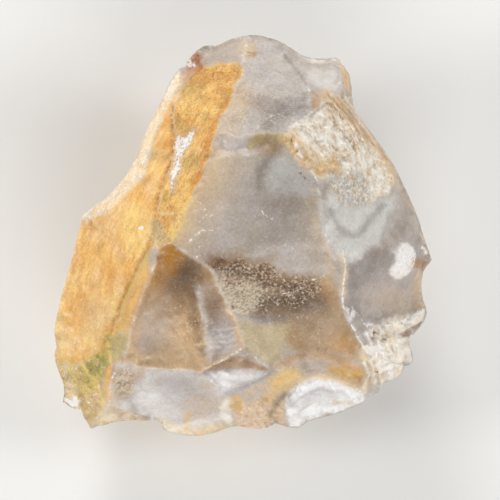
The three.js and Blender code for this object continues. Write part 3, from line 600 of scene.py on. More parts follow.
# big lower left scar
paint(BUFF, big_scar)
paint(SAND, spot(-5.4, -8.3, 2.8, 1.0, 5, 0.3, 0.7) * big_scar, 0.8)
stroke(LILAC, 0.3, [(-6.1, -3.6), (-6.6, -5.0), (-7.1, -7.2)], 0.9)
paint(TAN, line([(-6.1, -2.6), (-6.8, -4.6), (-7.6, -6.4)], 0.7) * big_scar, 0.7)
paint(DEEP_GREY, spot(-6.9, -7.6, 0.7, 0.8) * big_scar, 0.35)
paint(TAN, spot(-4.6, -5.0, 1.8, 2.6, -10, 0.3, 0.7) * mottle(0.7, -0.2, 0.4, 16.0), 0.75)
paint(TAN, spot(-4.6, -3.4, 2.0, 2.2, -20, 0.2, 0.9) * big_scar, 0.7)
paint(AMBER, spot(-5.5, -2.0, 1.1, 2.0, -32, 0.15, 0.8) * big_scar, 0.8)
# the brown and dark ovals at the top of the scar are painted shade in its hollow
paint(BROWN, spot(-3.9, -2.7, 1.3, 2.0, -22, 0.15, 0.95) * big_scar, 0.95)
paint(DARK, spot(-4.1, -2.1, 0.9, 1.2, -35, 0.15, 0.95) * big_scar, 0.4)
paint(GOLD, spot(-5.3, -1.5, 1.0, 1.2, -30, 0.15, 0.8) * big_scar, 0.8)
paint(LILAC, spot(-6.4, -6.9, 1.5, 2.0, -10, 0.4, 0.9) * big_scar, 0.18)
# painted shadow on the dark side of the fold
stroke(BROWN, 0.6, [(-3.5, -3.6), (-3.4, -5.6), (-3.15, -7.0), (-2.8, -8.3)], 0.9)
paint(LIGHT, spot(-6.1, -6.6, 1.0, 1.2, -15, 0.4, 0.8) * big_scar, 0.25)
paint(STONE, fold_side, 0.85)
paint(TAN, spot(-1.9, -4.4, 1.0, 1.4, -20, 0.2, 0.8) * fold_side, 0.5)
paint(BROWN, spot(-1.9, -4.8, 0.7, 1.4, -20, 0.2, 0.8) * fold_side, 0.45)
# painted highlight along the fold
stroke(LIGHT, 0.45, [(-3.0, -3.8), (-2.8, -5.0), (-2.65, -6.4), (-2.45, -7.4), (-2.3, -8.0)], 0.5, 0.15)
# lilac below the fold: partly the stone's grey-lilac, partly painted sheen
paint(LILAC, spot(-1.9, -7.3, 1.3, 0.9, 10, 0.2, 0.95) * fold_side, 0.6)
# painted highlights on the ripples below the fold
for ripple in FOLD_RIPPLES:
    stroke(LIGHT, 0.4, ripple, 0.2, 0.1)
patch(LILAC, 0.6, [(-2.6, -8.1), (-1.0, -7.8), (0.1, -7.9), (-0.8, -8.5), (-2.0, -9.1), (-2.6, -9.2)],
      0.3)

# speckled brown band across the middle
band = line([(-1.9, -1.8), (-0.5, -2.1), (0.8, -2.4), (2.0, -2.9), (3.2, -3.4), (4.6, -3.5)], 1.5, 0.35)
paint(SAND, speckled_band, 0.5)
paint(SEPIA, band, 0.9)
stroke(BROWN, 0.85, [(1.2, -5.0), (2.6, -4.9), (3.6, -4.7), (5.2, -4.5)], 1.6, 0.35)
dab(BROWN, 0.75, 3.5, -4.6, 2.2, 0.7, 5, 0.3, 0.7)
stroke(DARK, 0.4, [(-1.6, -2.2), (0.2, -2.6), (2.2, -3.4), (4.0, -3.7)], 0.4, 0.4)

# rough patch of rind
paint(CHALK, rough)
crescent = area([(2.9, 6.9), (3.6, 5.8), (4.6, 4.8), (5.6, 4.1), (6.9, 4.5), (6.5, 5.5), (5.4, 5.4),
                 (4.6, 6.1), (3.8, 7.1)], 0.45, 0.25)
paint(PALE_OCHRE, crescent, 0.8)
stroke(AMBER, 0.4, [(3.2, 6.6), (3.9, 5.7), (4.8, 4.8), (5.7, 4.3), (6.6, 4.5)], 0.45, 0.2)
stroke(DEEP_ORANGE, 0.4, [(6.2, 6.3), (6.35, 5.7), (6.3, 5.2)], 0.3)
paint(OCHRE, spot(5.3, 7.4, 0.5, 0.5) * specks, 0.5)
patch(STEEL, 0.75, [(6.0, 4.4), (8.3, 4.6), (9.0, 3.2), (8.8, 2.0), (6.4, 2.0), (6.0, 3.0)], 0.35, 0.3)
stroke(OCHRE, 0.5, [(5.9, 9.9), (7.2, 8.6), (8.4, 7.6), (9.4, 6.6), (10.2, 5.2), (10.7, 4.0)], 0.9, 0.2)
paint(SAND, rough * streaks, 0.75)
paint(TAN, area([(5.6, 9.8), (7.4, 8.8), (9.6, 6.6), (9.0, 5.6), (7.4, 6.2), (6.0, 8.0)], 0.4) * streaks,
      0.45)
paint(SAND, rough * smooth(0.3, 0.08, pits), 0.4)
patch(SAND, 0.7, [(4.8, 8.8), (5.8, 9.9), (7.4, 9.2), (8.2, 7.9), (6.9, 8.2), (5.9, 8.6)], 0.3, 0.3)
# cream painted highlight on each furrow's rim, tan painted shade in the furrow
for furrow in FURROWS:
    stroke(CREAM, 0.7, [(x + 0.16, y + 0.14) for x, y in furrow], 0.2, 0.12)
    stroke(TAN, 0.75, furrow, 0.16, 0.12)

# grey bands and hollow facet of the right side
patch(SAND, 0.35, [(7.8, 9.4), (9.2, 7.4), (10.4, 5.4), (11.2, 3.4), (12.2, 1.6), (12.9, 2.4),
                   (10.6, 6.4), (8.8, 9.0)], 0.3, 0.15)
patch(PALE, 0.85, [(6.0, 2.8), (5.6, 1.4), (5.7, 0.2), (6.6, -1.4), (7.4, -2.2), (8.8, -1.0),
                   (10.2, 0.0), (11.0, 1.4), (11.0, 3.0), (9.6, 2.4), (7.6, 1.9)], 0.35, 0.2)
stroke(DEEP_GREY, 0.55, [(6.2, 1.8), (6.35, 1.2), (6.6, 0.7), (7.0, 0.3), (7.5, 0.08), (8.0, 0.08),
                         (8.4, 0.4), (8.9, 1.0), (9.4, 1.6), (9.9, 2.1)], 0.55, 0.15)
stroke(DEEP_GREY, 0.6, [(5.9, 3.6), (5.6, 2.8), (5.6, 1.9), (5.8, 1.4)], 0.45, 0.12)
stroke(DEEP_GREY, 0.4, [(9.9, -0.2), (10.3, 0.9), (10.8, 1.8)], 0.5, 0.2)
dab(STONE, 0.7, 11.2, 0.9, 0.8, 1.3, -20, 0.3, 0.8)
dab(BROWN, 0.25, 11.3, 0.7, 0.5, 1.0, -20, 0.3, 0.8)
# pale line along the ridge: partly the stone's pale band, partly painted highlight
stroke(LIGHT, 0.5, [(5.5, 2.4), (5.7, 0.8), (6.3, -0.6), (6.9, -1.6)], 0.6, 0.15)
paint(LILAC, hollow, 0.5)
paint(STONE, hollow, 0.7)
dab(BROWN, 0.45, 9.6, -1.2, 0.8, 0.5, 30, 0.2, 0.8)
dab(DEEP_GREY, 0.75, 8.9, -2.4, 1.9, 0.8, 25, 0.4, 0.9)
dab(DEEP_GREY, 0.45, 7.7, -3.8, 0.6, 1.3, 0, 0.2, 0.8)
dab(SAND, 0.35, 11.0, -4.7, 2.0, 1.1, -8, 0.3, 0.8)
patch(CREAM, 0.7, [(12.6, 0.6), (13.8, -1.0), (13.8, -1.6), (12.9, -1.2)], 0.2)
stroke(SAND, 0.7, [(12.75, -2.4), (12.5, -3.6), (12.8, -5.2)], 0.7)
stroke(CREAM, 0.8, [(13.0, -2.6), (12.85, -3.8), (13.25, -5.4)], 0.3)
# painted highlight along the right ridge
stroke(CREAM, 0.5, [(7.0, -1.4), (7.15, -2.4), (7.05, -4.0)], 0.5, 0.1)
paint(WHITE, oval)
stroke(SAND, 0.5, [(10.3, -2.6), (11.1, -3.0), (12.0, -2.2), (12.3, -1.4)], 0.2, 0.05)
patch(TAN, 0.85, [(12.2, -1.6), (13.1, -1.5), (13.3, -1.9), (12.8, -2.3), (12.2, -2.2)], 0.12, 0.08)

# crushed lower right corner
paint(CHALK, crushed)
paint(SHELL, crushed * smooth(0.5, 0.4, broken_tone), 0.6)
paint(WHITE, crushed * smooth(0.7, 0.75, broken_tone), 0.8)
paint(SAND, crushed * smooth(0.12, 0.06, crumb_tone), 0.2)
patch(CREAM, 0.8, [(9.6, -6.3), (10.2, -6.6), (11.2, -8.6), (10.6, -8.9), (9.9, -7.4)], 0.15, 0.08)
stroke(CHALK, 0.85, [(10.0, -6.6), (11.2, -6.7), (12.1, -6.05), (13.1, -5.3)], 0.55, 0.1)
paint(STONE, sliver, 0.9)
paint(WHITE, area([(7.15, -5.0), (7.9, -5.2), (7.9, -6.1), (7.5, -5.9)], 0.15, 0.1) * specks, 0.8)
# white painted highlight beside each splinter groove, tan painted shade in the groove
for splinter in SPLINTERS:
    stroke(WHITE, 0.9, [(x - 0.22, y + 0.04) for x, y in splinter], 0.36, 0.06)
    stroke(TAN, 0.5, splinter, 0.14, 0.06)
paint(IVORY, tooth, 0.95)
# painted shade under the ledge below the tooth
patch(UMBER, 0.95, [(11.2, -7.15), (11.8, -6.65), (12.5, -6.25), (13.3, -5.85), (13.4, -6.4),
                    (12.9, -7.1), (12.2, -7.25)], 0.12, 0.04)
stroke(BROWN, 0.5, [(11.3, -7.1), (12.0, -6.65), (12.9, -6.2)], 0.25, 0.05)
stroke(LILAC, 0.6, [(8.7, -11.7), (9.4, -11.2), (10.0, -10.8)], 0.7, 0.15)

# foot facets
paint(LIGHT, foot, 0.9)
paint(SAND, foot * mottle(1.8, 0.0, 0.6, 40.0), 0.45)
dab(STONE, 0.7, -4.6, -10.6, 1.9, 0.9, -5, 0.4, 0.8)
dab(WHITE, 0.5, -6.4, -11.9, 1.1, 0.9, 20, 0.4, 0.8)
dab(LILAC, 0.4, -5.2, -11.5, 1.2, 0.9, 0, 0.3, 0.8)
patch(TAN, 0.75, [(-9.3, -9.4), (-7.0, -9.6), (-7.6, -10.6), (-8.0, -11.4), (-9.1, -11.8)], 0.35, 0.3)
paint(BROWN, area([(-9.2, -9.6), (-7.8, -9.8), (-8.3, -11.2), (-9.0, -11.4)], 0.3, 0.2) * specks, 0.5)
dab(TAN, 0.45, -2.8, -12.2, 1.3, 1.0, 20, 0.4, 0.8)
patch(CREAM, 0.6, [(-10.0, -12.1), (-9.0, -12.2), (-7.4, -13.0), (-8.4, -14), (-11.0, -15)], 0.2, 0.1)
patch(TAN, 0.5, [(-9.8, -12.4), (-9.0, -12.3), (-7.9, -12.8), (-8.8, -13.0)], 0.25)
patch(CREAM, 0.8, [(-6, -13.2), (-3.5, -13.9), (-1, -13.2), (-1, -15), (-6, -15)], 0.4, 0.3)
paint(OCHRE, line([(-5.8, -14.0), (-4.0, -14.5), (-2.0, -14.2), (-0.6, -13.7)], 0.5) * blotch, 0.8)
stroke(OCHRE, 0.6, [(-3.9, -12.8), (-4.1, -13.8)], 0.5, 0.15)
dab(CHALK, 0.8, -1.1, -12.5, 0.5, 0.9, -10, 0.2)
stroke(CHALK, 0.6, [(-6.5, -13.3), (-5.2, -14.0), (-3.4, -13.4), (-1.6, -13.2)], 0.45, 0.2)
dab(AMBER, 0.5, -7.5, -13.1, 0.7, 0.3)
paint(LILAC, step_scar, 0.8)
patch(SAND, 0.6, [(-0.9, -11.6), (0.9, -11.6), (1.8, -10.2), (1.2, -10.4), (0.2, -11.0)], 0.3, 0.15)
# painted shade on the steep wall below the step, mottled
paint(TAN, step_wall, 0.95)
paint(BROWN, step_wall * blotch, 0.25)
# white painted light on the ledge that faces up
patch(WHITE, 0.8, [(-2.2, -9.7), (0.0, -9.4), (1.9, -9.6), (1.0, -10.1), (-0.6, -10.6), (-1.3, -11.0)],
      0.15, 0.1)
# painted shade along the ledge's lower right edge
stroke(DEEP_GREY, 0.5, [(0.2, -10.6), (1.1, -10.2), (1.8, -9.85)], 0.35, 0.08)
paint(SAND, brow, 0.9)
for sweep in SWEEPS:
    paint(TAN, brow * line(sweep, 0.22, 0.08), 0.5)
patch(LILAC, 0.7, [(3.4, -8.9), (5.0, -8.7), (6.2, -9.1), (5.6, -10.1), (4.0, -10.2)], 0.3, 0.2)
stroke(TAN, 0.6, [(3.2, -8.7), (4.6, -8.3), (6.2, -8.3), (7.4, -8.8)], 0.5, 0.1)
paint(TAN, brow, 0.25)
patch(HONEY, 0.9, [(6.2, -9.4), (7.4, -8.9), (8.6, -9.4), (8.7, -10.4), (7.4, -10.2)], 0.35, 0.2)
stroke(CREAM, 0.6, [(8.4, -8.4), (9.0, -9.2), (9.6, -10.0), (8.8, -10.9)], 0.5, 0.15)
stroke(CREAM, 0.8, [(3.6, -10.9), (4.6, -10.2), (5.6, -10.0), (7.2, -10.5), (8.4, -11.2)], 0.5, 0.06)
paint(PURE_WHITE, white_scar)
paint(LIGHT, white_scar * area([(3.9, -12.2), (4.8, -11.0), (5.8, -10.7), (6.9, -11.2),
                                (6.9, -11.9)], 0.3, 0.1), 0.7)
paint(LILAC, white_scar * line([(3.5, -12.1), (4.5, -11.3), (5.4, -10.95), (6.4, -11.1)], 0.25, 0.05),
      0.6)
paint(LILAC, white_scar * smooth(0.55, 0.95, ripples(5.8, -14.4, 0.8, 1.0)), 0.4)
paint(SAND, white_scar * line([(6.6, -12.0), (7.4, -11.9), (8.2, -12.1)], 0.3, 0.1), 0.5)
paint(PEACH, ochre_block)
paint(SAND, ochre_block * blotch, 0.3)
paint(OCHRE, ochre_block * mottle(0.8, 0.1, 0.5, 52.0), 0.25)
patch(SAND, 0.7, [(1.3, -10.8), (2.2, -9.6), (3.9, -9.6), (4.1, -10.4), (3.2, -11.3), (1.4, -11.8)], 0.3)
dab(YELLOW, 0.6, 3.1, -10.0, 1.0, 0.6, 35, 0.3, 0.9)
stroke(OCHRE, 0.5, [(3.6, -9.6), (2.9, -10.1), (2.4, -10.8), (2.0, -11.6)], 0.7, 0.2)
dab(OCHRE, 0.7, -0.5, -12.0, 0.5, 0.6)
stroke(BROWN, 0.6, [(2.9, -11.25), (2.4, -12.0), (2.0, -12.8)], 0.45, 0.12)

# green stained corner
paint(OCHRE, green_corner, 0.7)
paint(LIME, green_corner * mottle(1.2, -0.6, 0.2, 58.0), 0.9)
paint(OLIVE, area([(-12.0, -9.2), (-10.4, -8.6), (-9.8, -9.6), (-10.2, -11.2),
                   (-11.6, -11.2)], 0.4, 0.4) * mottle(0.8, -0.4, 0.4, 5.0), 0.7)
paint(GREEN, area([(-10.9, -9.3), (-10.3, -8.3), (-9.5, -7.1), (-9.1, -7.6), (-9.5, -9.2),
                   (-10.0, -10.2), (-10.8, -10.0)], 0.25, 0.25) * mottle(0.6, -0.5, 0.3, 5.0), 0.9)
paint(STRAW, green_facet, 0.9)
paint(OLIVE, green_facet * blotch, 0.5)
patch(STRAW, 0.7, [(-6.3, 1.3), (-5.7, 1.0), (-5.0, -0.4), (-5.9, -0.75), (-6.4, -0.4)], 0.15, 0.08)
patch(YELLOW, 0.6, [(-11.4, -11.6), (-10.0, -11.6), (-9.9, -12.6), (-10.9, -13.9), (-11.6, -12.4)], 0.3)
dab(SAND, 0.6, -10.7, -11.9, 0.5, 0.7)
stroke(ORANGE, 0.9, [(-9.5, -9.4), (-9.6, -10.6), (-9.5, -11.8)], 0.5, 0.12)
paint(LIGHT, area([(-14, -9), (-12.6, -9.2), (-12.0, -10.4), (-12.2, -11.5),
                   (-14, -11.5)], 0.3) * specks, 0.9)
dab(CREAM, 0.6, -12.4, -11.1, 0.5, 0.5)
tip_chip = area([(-13.3, -11.5), (-12.6, -11.6), (-11.9, -11.7), (-11.8, -12.6), (-13.2, -12.5)], 0.15)
paint(CHALK, tip_chip, 0.95)

# underside: stained rind, with grey scars to the right, at the top and behind the foot
paint(CREAM, below)
paint(OCHRE, below * mottle(2.6, -0.2, 0.4, 64.0), 0.75)
paint(BROWN, below * specks, 0.35)
paint(CHALK, below * smooth(0.35, 0.1, pits), 0.6)
bare = np.maximum(smooth(6.3, 7.0, plan[:, 0]), smooth(7.6, 8.4, plan[:, 1] + 0.25 * plan[:, 0]))
bare = np.maximum(bare, smooth(14.6, 15.4, plan[:, 0] - plan[:, 1]))
paint(GREY, below * bare, 0.95)
paint(LILAC, below * bare * blotch, 0.5)

# painted highlights along the crests and painted shade in the valleys
warm = np.maximum(np.maximum(ochre_facet, flank), np.maximum(big_scar, green_corner))
patchy = smooth(-0.4, 0.3, cloud(0.6, 3, 27.0))
ridge_highlight *= 1.0 - 0.75 * line(CREST[3:], 1.0, 0.1)
ridge_highlight *= 1.0 - 0.8 * line(BROW[1:7], 1.1, 0.1)
ridge_highlight *= 1.0 - 0.6 * line([(-1.7, 7.1), (0.5, 7.0), (3.2, 7.1)], 0.8, 0.1)
paint(CREAM, ridge_highlight * above * warm * (0.4 + 0.6 * patchy), 0.7)
paint(LIGHT, ridge_highlight * above * (1.0 - warm) * (0.3 + 0.7 * patchy), 0.7)
paint(BROWN, valley_shade * above, 0.3)

# ------------ masks that the material sharpens

chalky_and_highlit = np.zeros(count)  # crushed white flint, crumbs of rind and painted highlights along the ridges, the fold and the hinge band
crumbly = np.zeros(count)  # fine cream grains
stained = np.zeros(count)  # dark mineral grains


def mark(kind, mask, strength):
    """Raises that kind's mask to the strength; at 0.5 grains cover about half of what is marked."""
    np.maximum(kind, mask * strength, out=kind)


CHALK_AND_HIGHLIGHT_LINES = [  # white lines, of crushed flint and of painted highlight along the ridges, the fold and the hinge band: path, width in mm, wobble and strength
    # painted highlight along the right ridge
    ([(7.0, -1.0), (7.2, -1.8), (7.1, -2.8), (7.05, -4.0), (7.1, -5.2), (7.5, -6.0), (8.0, -6.9),
      (8.6, -7.9), (9.0, -8.4)], 0.17, 0.05, 0.74),
    ([(7.7, -5.0), (8.4, -5.9), (9.0, -6.6), (9.5, -7.4)], 0.22, 0.1, 0.58),
    ([(10.2, -6.4), (11.6, -6.0), (13.2, -5.15)], 0.4, 0.1, 0.66),
    ([(12.8, -0.8), (13.4, -1.4)], 0.5, 0.1, 0.7),
    # painted highlights on the fold and its ripple
    ([(-3.1, -3.4), (-2.9, -4.6), (-2.75, -6.0), (-2.5, -7.4)], 0.4, 0.15, 0.4),
    ([(-2.6, -7.2), (-1.8, -7.0), (-0.6, -6.8)], 0.3, 0.12, 0.34),
    (FOLD_END, 0.16, 0.05, 0.6),
    (CREST_HAIR, 0.22, 0.08, 0.62),
    ([(-3.4, 1.2), (-2.9, 0.9), (-2.5, 1.5)], 0.2, 0.1, 0.52),
    ([(-2.9, 2.3), (-2.5, 1.9), (-2.3, 1.1)], 0.2, 0.1, 0.5),
    (LEDGE_FOOT, 0.2, 0.08, 0.55),
    ([(1.3, 1.8), (1.7, 1.4), (2.1, 1.2), (2.2, 1.4)], 0.18, 0.05, 0.6),
    # painted highlight on the hinge band
    ([(-1.6, 7.2), (-0.2, 7.0), (1.5, 7.1)], 0.3, 0.15, 0.38),
    ([(6.0, -2.65), (5.2, -2.9), (3.7, -3.9), (2.8, -4.0)], 0.2, 0.1, 0.55),
]
CHALK_AND_HIGHLIGHT_LINES += [(hair, 0.14, 0.12, 0.5) for hair in CREST_HAIRS]
STAIN_LINES = [  # dark lines, likewise
    ([(-2.0, 11.8), (-2.1, 11.2), (-2.6, 10.7)], 0.25, 0.1, 0.6),
    ([(4.0, 4.4), (4.4, 4.0)], 0.25, 0.1, 0.6),
    ([(-2.9, 12.0), (-3.3, 11.5), (-3.7, 11.2)], 0.25, 0.1, 0.6),
    (AMBER_LINED_CREASE[:8], 0.25, 0.1, 0.5),
]
for kind, marked in ((chalky_and_highlit, CHALK_AND_HIGHLIGHT_LINES), (stained, STAIN_LINES)):
    for path, width, wobble, strength in marked:
        mark(kind, line(path, width, wobble), strength)

FLECK = [(-4.7, 7.1), (-3.9, 7.2), (-3.25, 7.6), (-3.6, 6.7), (-3.9, 6.0), (-4.3, 5.5), (-4.45, 4.6),
         (-4.7, 3.8), (-4.95, 3.1), (-5.15, 4.1), (-4.9, 5.0), (-4.75, 6.0)]
ROUGH_WHITE = [(3.6, 7.0), (4.2, 8.0), (6.4, 8.1), (7.6, 6.6), (7.4, 5.4), (6.4, 6.4), (4.6, 6.4)]
CRUMBLED = [(-1.8, -3.2), (2.0, -3.4), (1.0, -5.2), (-1.0, -5.6)]

chalk_and_highlight_masks = [  # mask and strength
    # the first two are painted highlights along the crests
    (ridge_highlight * above * (1.0 - warm) * patchy * (1.0 - 0.5 * step_wall), 0.55),
    (ridge_highlight * above * warm * patchy, 0.42),
    (area(FLECK, 0.2, 0.25), 0.6),
    (spot(-3.6, 12.3, 0.25, 0.25), 0.7),
    (spot(-7.1, 0.65, 0.3, 0.22), 0.7),
    (rough * (1.0 - 0.45 * crescent), 0.44),
    (area(ROUGH_WHITE, 0.5, 0.5), 0.52),
    (oval, 0.5),
    (crushed * (1.0 - tooth) * broken_tone, 0.45),
    (area([(8.6, -7.6), (9.7, -7.6), (9.8, -8.6), (8.8, -8.7)], 0.2), 0.75),
    (green_corner * (1.0 - mottle(1.2, -0.4, 0.3, 58.0)), 0.45),
    (rind_strip, 0.38),
    (tip_chip, 0.8),
    (ochre_block * blotch, 0.36),
]
crumb_masks = [  # mask and strength
    (speckled_band, 0.46),
    (area(CRUMBLED, 0.4, 0.4), 0.7),
    (area([(1.4, -5.6), (6.0, -5.0), (7.6, -7.8), (3.0, -8.0)], 0.6, 0.4), 0.3),
    (spot(2.6, -0.9, 2.4, 1.0, 0, 0.4, 0.8), 0.36),
    (top_facet * mottle(1.5, -0.3, 0.4, 34.0), 0.42),
    (big_scar * spot(-4.4, -6.4, 2.2, 2.4, 0, 0.4, 0.8), 0.4),
    (foot * spot(-8.4, -10.4, 1.2, 1.4, 0, 0.4, 0.6), 0.5),
]
stain_masks = [  # mask and strength
    (band, 0.5),
    (speckled_band, 0.46),
    (ochre_block, 0.2),
    (ochre_facet, 0.34),
    (oval, 0.26),
    (flank, 0.2),
    (green_corner, 0.3),
    (rough * streaks, 0.22),
    (spot(-3.3, 12.4, 0.6, 0.75), 0.35),
    (spot(5.5, 6.75, 0.25, 0.2), 0.8),
    (below * (1.0 - bare), 0.36),
]
for kind, marked in ((chalky_and_highlit, chalk_and_highlight_masks), (crumbly, crumb_masks), (stained, stain_masks)):
    for mask, strength in marked:
        mark(kind, mask, strength)

fibrous = np.maximum(ochre_facet, flank * smooth(-9.0, 0.0, plan[:, 1]))
grit = 0.1 + 0.6 * rough + 0.5 * oval + 0.15 * crushed + 0.6 * ochre_block + 0.45 * green_corner
grit += 0.35 * flank + 0.3 * ochre_facet + 0.6 * rind_strip + 0.35 * top_facet + 0.5 * speckled_band
grit += 0.7 * below * (1.0 - bare)
grit = np.clip(grit, 0.0, 1.0)

tint_data = stone.data.color_attributes.new("tint", "FLOAT_COLOR", "POINT")
tint_data.data.foreach_set("color", np.column_stack([tint, np.ones(count)]).ravel())
masks = {"grit": grit, "chalky_and_highlit": chalky_and_highlit, "crumbly": crumbly, "stained": stained, "fibrous": fibrous}
for name, values in masks.items():
    stone.data.attributes.new(name, "FLOAT", "POINT").data.foreach_set("value", values)

# ------------ material

FLINT_IOR = 1.53
SHEEN = 0.4
NOISE_DETAIL = 6.0
NOISE_ROUGHNESS = 0.62
DEEP_GLOW = 0.22  # how much of the light comes back out of the stone
GLOW_REACH = 0.5 * MM
GLOW_COLOURS = (1.0, 0.72, 0.5)
WARM_CLOUD = (0.6, 0.52, 0.44)  # these seven are linear light
DARK_GRAIN = (0.52, 0.42, 0.32)
BRIGHT_GRAIN = (0.5, 0.47, 0.42)
FIBRE = (0.86, 0.68, 0.38)
CRUMB = (0.64, 0.56, 0.42)
STAIN = (0.36, 0.22, 0.12)
CHALK_AND_HIGHLIGHT_GRAIN = (0.88, 0.85, 0.8)
BUMP_STRENGTH = 0.8
BUMP_DEPTH = 0.14 * MM
MIX_FIRST, MIX_SECOND, MIX_RESULT = 6, 7, 2  # the colour sockets of a Mix node


def flint_material():
    """The painted tint, broken up by noise of ever finer grain, with waxy and gritty stretches."""
    material = bpy.data.materials.new("flint")
    material.use_nodes = True
    nodes, links = material.node_tree.nodes, material.node_tree.links
    shader = nodes["Principled BSDF"]
    shader.inputs["Subsurface Weight"].default_value = DEEP_GLOW
    shader.inputs["Subsurface Radius"].default_value = GLOW_COLOURS
    shader.inputs["Subsurface Scale"].default_value = GLOW_REACH
    shader.inputs["IOR"].default_value = FLINT_IOR
    shader.inputs["Specular IOR Level"].default_value = SHEEN

    def attribute(name):
        reader = nodes.new("ShaderNodeAttribute")
        reader.attribute_name = name
        return reader

    def speckle(size, shift, stretch=1.0):
        """Noise from 0 to 1 whose lumps are about size mm across, with ever finer ones in them; they
        may be drawn out along the ochre facets."""
        texture = nodes.new("ShaderNodeTexNoise")
        texture.noise_dimensions = "4D"
        texture.inputs["W"].default_value = shift
        texture.inputs["Scale"].default_value = 1.0 / (size * MM)
        texture.inputs["Detail"].default_value = NOISE_DETAIL
        texture.inputs["Roughness"].default_value = NOISE_ROUGHNESS
        turn = nodes.new("ShaderNodeMapping")
        turn.vector_type = "TEXTURE"
        turn.inputs["Rotation"].default_value = (0.0, 0.0, math.radians(FIBRE_TURN))
        turn.inputs["Scale"].default_value = (stretch, 1.0, 1.0)
        links.new(coordinates.outputs["Object"], turn.inputs["Vector"])
        links.new(turn.outputs["Vector"], texture.inputs["Vector"])
        return texture.outputs["Fac"]

    def ranged(value, low, high, to_low, to_high):
        """The value with low to high spread over to_low to to_high, and held at those ends."""
        change = nodes.new("ShaderNodeMapRange")
        change.inputs["From Min"].default_value = low
        change.inputs["From Max"].default_value = high
        change.inputs["To Min"].default_value = to_low
        change.inputs["To Max"].default_value = to_high
        links.new(value, change.inputs["Value"])
        return change.outputs["Result"]

    def combine(operation, first, second):
        """A sum or product of two values, each of them a socket or a number."""
        maths = nodes.new("ShaderNodeMath")
        maths.operation = operation
        for value, socket in zip((first, second), maths.inputs):
            if isinstance(value, float):
                socket.default_value = value
            else:
                links.new(value, socket)
        return maths.outputs["Value"]

    def tinted(blend, base, factor, colour):
        """The base colour, blended with another one as far as the factor says."""
        mix = nodes.new("ShaderNodeMix")
        mix.data_type = "RGBA"
        mix.blend_type = blend
        links.new(factor, mix.inputs["Factor"])
        links.new(base, mix.inputs[MIX_FIRST])
        mix.inputs[MIX_SECOND].default_value = (*colour, 1.0)
        return mix.outputs[MIX_RESULT]

    def broken(mask, size, shift, low, high, most):
        """The smooth mask with grainy edges."""
        spread = combine("MULTIPLY", combine("SUBTRACT", speckle(size, shift), 0.5), 1.7)
        return ranged(combine("ADD", mask, spread), low, high, 0.0, most)

    coordinates = nodes.new("ShaderNodeTexCoord")
    colour = attribute("tint").outputs["Color"]
    gritty = attribute("grit").outputs["Fac"]
    coarse = combine("ADD", combine("MULTIPLY", gritty, 0.4), 0.3)
    cloudy = ranged(speckle(0.9, 1.0), 0.4, 0.6, 0.0, 0.26)
    colour = tinted("MULTIPLY", colour, cloudy, WARM_CLOUD)
    dark_grain = combine("MULTIPLY", ranged(speckle(0.2, 7.0), 0.44, 0.6, 0.0, 0.6), coarse)
    colour = tinted("MULTIPLY", colour, dark_grain, DARK_GRAIN)
    bright_grain = combine("MULTIPLY", ranged(speckle(0.17, 2.0), 0.54, 0.62, 0.0, 0.55), coarse)
    colour = tinted("SCREEN", colour, bright_grain, BRIGHT_GRAIN)
    fibre = ranged(speckle(0.3, 9.0, 5.0), 0.45, 0.62, 0.0, 0.6)
    fibre = combine("MULTIPLY", fibre, attribute("fibrous").outputs["Fac"])
    colour = tinted("MULTIPLY", colour, fibre, FIBRE)
    crumbs = broken(attribute("crumbly").outputs["Fac"], 0.2, 11.0, 0.46, 0.58, 0.75)
    colour = tinted("MIX", colour, crumbs, CRUMB)
    stain = broken(attribute("stained").outputs["Fac"], 0.2, 3.0, 0.36, 0.7, 0.85)
    colour = tinted("MULTIPLY", colour, stain, STAIN)
    # white grains, which along the ridges, the fold and the hinge band are painted highlights
    chalk_and_highlight = broken(attribute("chalky_and_highlit").outputs["Fac"], 0.24, 6.0, 0.42, 0.62, 0.8)
    colour = tinted("MIX", colour, chalk_and_highlight, CHALK_AND_HIGHLIGHT_GRAIN)
    links.new(colour, shader.inputs["Base Color"])

    polish = ranged(speckle(0.8, 4.0), 0.35, 0.65, 0.22, 0.42)
    links.new(combine("ADD", polish, combine("MULTIPLY", gritty, 0.3)), shader.inputs["Roughness"])

    grains = combine("MULTIPLY", speckle(0.14, 5.0), combine("ADD", gritty, 0.15))
    height = combine("ADD", grains, combine("MULTIPLY", chalk_and_highlight, 0.15))
    bump = nodes.new("ShaderNodeBump")
    bump.inputs["Strength"].default_value = BUMP_STRENGTH
    bump.inputs["Distance"].default_value = BUMP_DEPTH
    links.new(height, bump.inputs["Height"])
    links.new(bump.outputs["Normal"], shader.inputs["Normal"])
    return material


stone.data.materials.clear()
stone.data.materials.append(flint_material())
stone.data.polygons.foreach_set("use_smooth", np.ones(len(stone.data.polygons), bool))
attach(stone, "root")
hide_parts("flint_nodule")

# ------------ floor, lights, camera

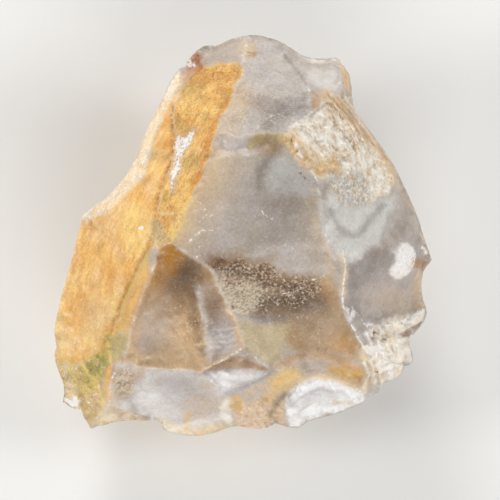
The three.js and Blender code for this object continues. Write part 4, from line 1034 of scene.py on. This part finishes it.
FLOOR_SIDE = 3.0
FLOOR_DROP = 0.02 * MM  # so that the floor and the flat don't lie in each other
FLOOR_TINT = (0.78, 0.77, 0.75, 1.0)
FLOOR_ROUGHNESS = 0.9
SKY_TINT = (0.95, 0.97, 1.0, 1.0)
SKY_STRENGTH = 0.12
SENSOR = 36.0
VIEW_WIDTH = 35.9 * MM  # what the picture spans at the stone's rim
RIM_HEIGHT = 8.5 * MM
CAMERA_REACH = 0.32
AIM_X, AIM_Y = 0.54 * MM, -0.97 * MM

bpy.ops.mesh.primitive_plane_add(size=FLOOR_SIDE, location=(0, 0, -FLOOR_DROP))
floor = bpy.context.object
floor.name = "floor"
floor_material = bpy.data.materials.new("floor")
floor_material.use_nodes = True
floor_shader = floor_material.node_tree.nodes["Principled BSDF"]
floor_shader.inputs["Base Color"].default_value = FLOOR_TINT
floor_shader.inputs["Roughness"].default_value = FLOOR_ROUGHNESS
floor.data.materials.append(floor_material)


def softbox(name, position, side, power):
    """A square area light aimed at the stone."""
    data = bpy.data.lights.new(name, "AREA")
    data.size = side
    data.energy = power
    light = bpy.data.objects.new(name, data)
    light.location = position
    light.rotation_euler = (-Vector(position)).to_track_quat("-Z", "Y").to_euler()
    bpy.context.scene.collection.objects.link(light)


SOFTBOXES = [  # name, position and side in metres, and power in watts
    ("back", (-0.08, 0.34, 0.16), 0.11, 0.9),
    ("left", (-0.34, 0.0, 0.16), 0.11, 0.68),
    ("front", (0.04, -0.34, 0.2), 0.26, 1.0),
    ("right", (0.34, 0.03, 0.17), 0.11, 0.66),
    ("over", (-0.08, 0.12, 0.42), 0.16, 0.18),
]
for lamp in SOFTBOXES:
    softbox(*lamp)

world = bpy.data.worlds.new("studio")
world.use_nodes = True
sky = world.node_tree.nodes["Background"]
sky.inputs["Color"].default_value = SKY_TINT
sky.inputs["Strength"].default_value = SKY_STRENGTH
bpy.context.scene.world = world

camera_data = bpy.data.cameras.new("camera")
camera_data.sensor_width = SENSOR
camera_data.lens = SENSOR * CAMERA_REACH / VIEW_WIDTH
camera = bpy.data.objects.new("camera", camera_data)
camera.location = (AIM_X, AIM_Y, RIM_HEIGHT + CAMERA_REACH)
bpy.context.scene.collection.objects.link(camera)
bpy.context.scene.camera = camera
bpy.context.scene.view_settings.view_transform = "Standard"
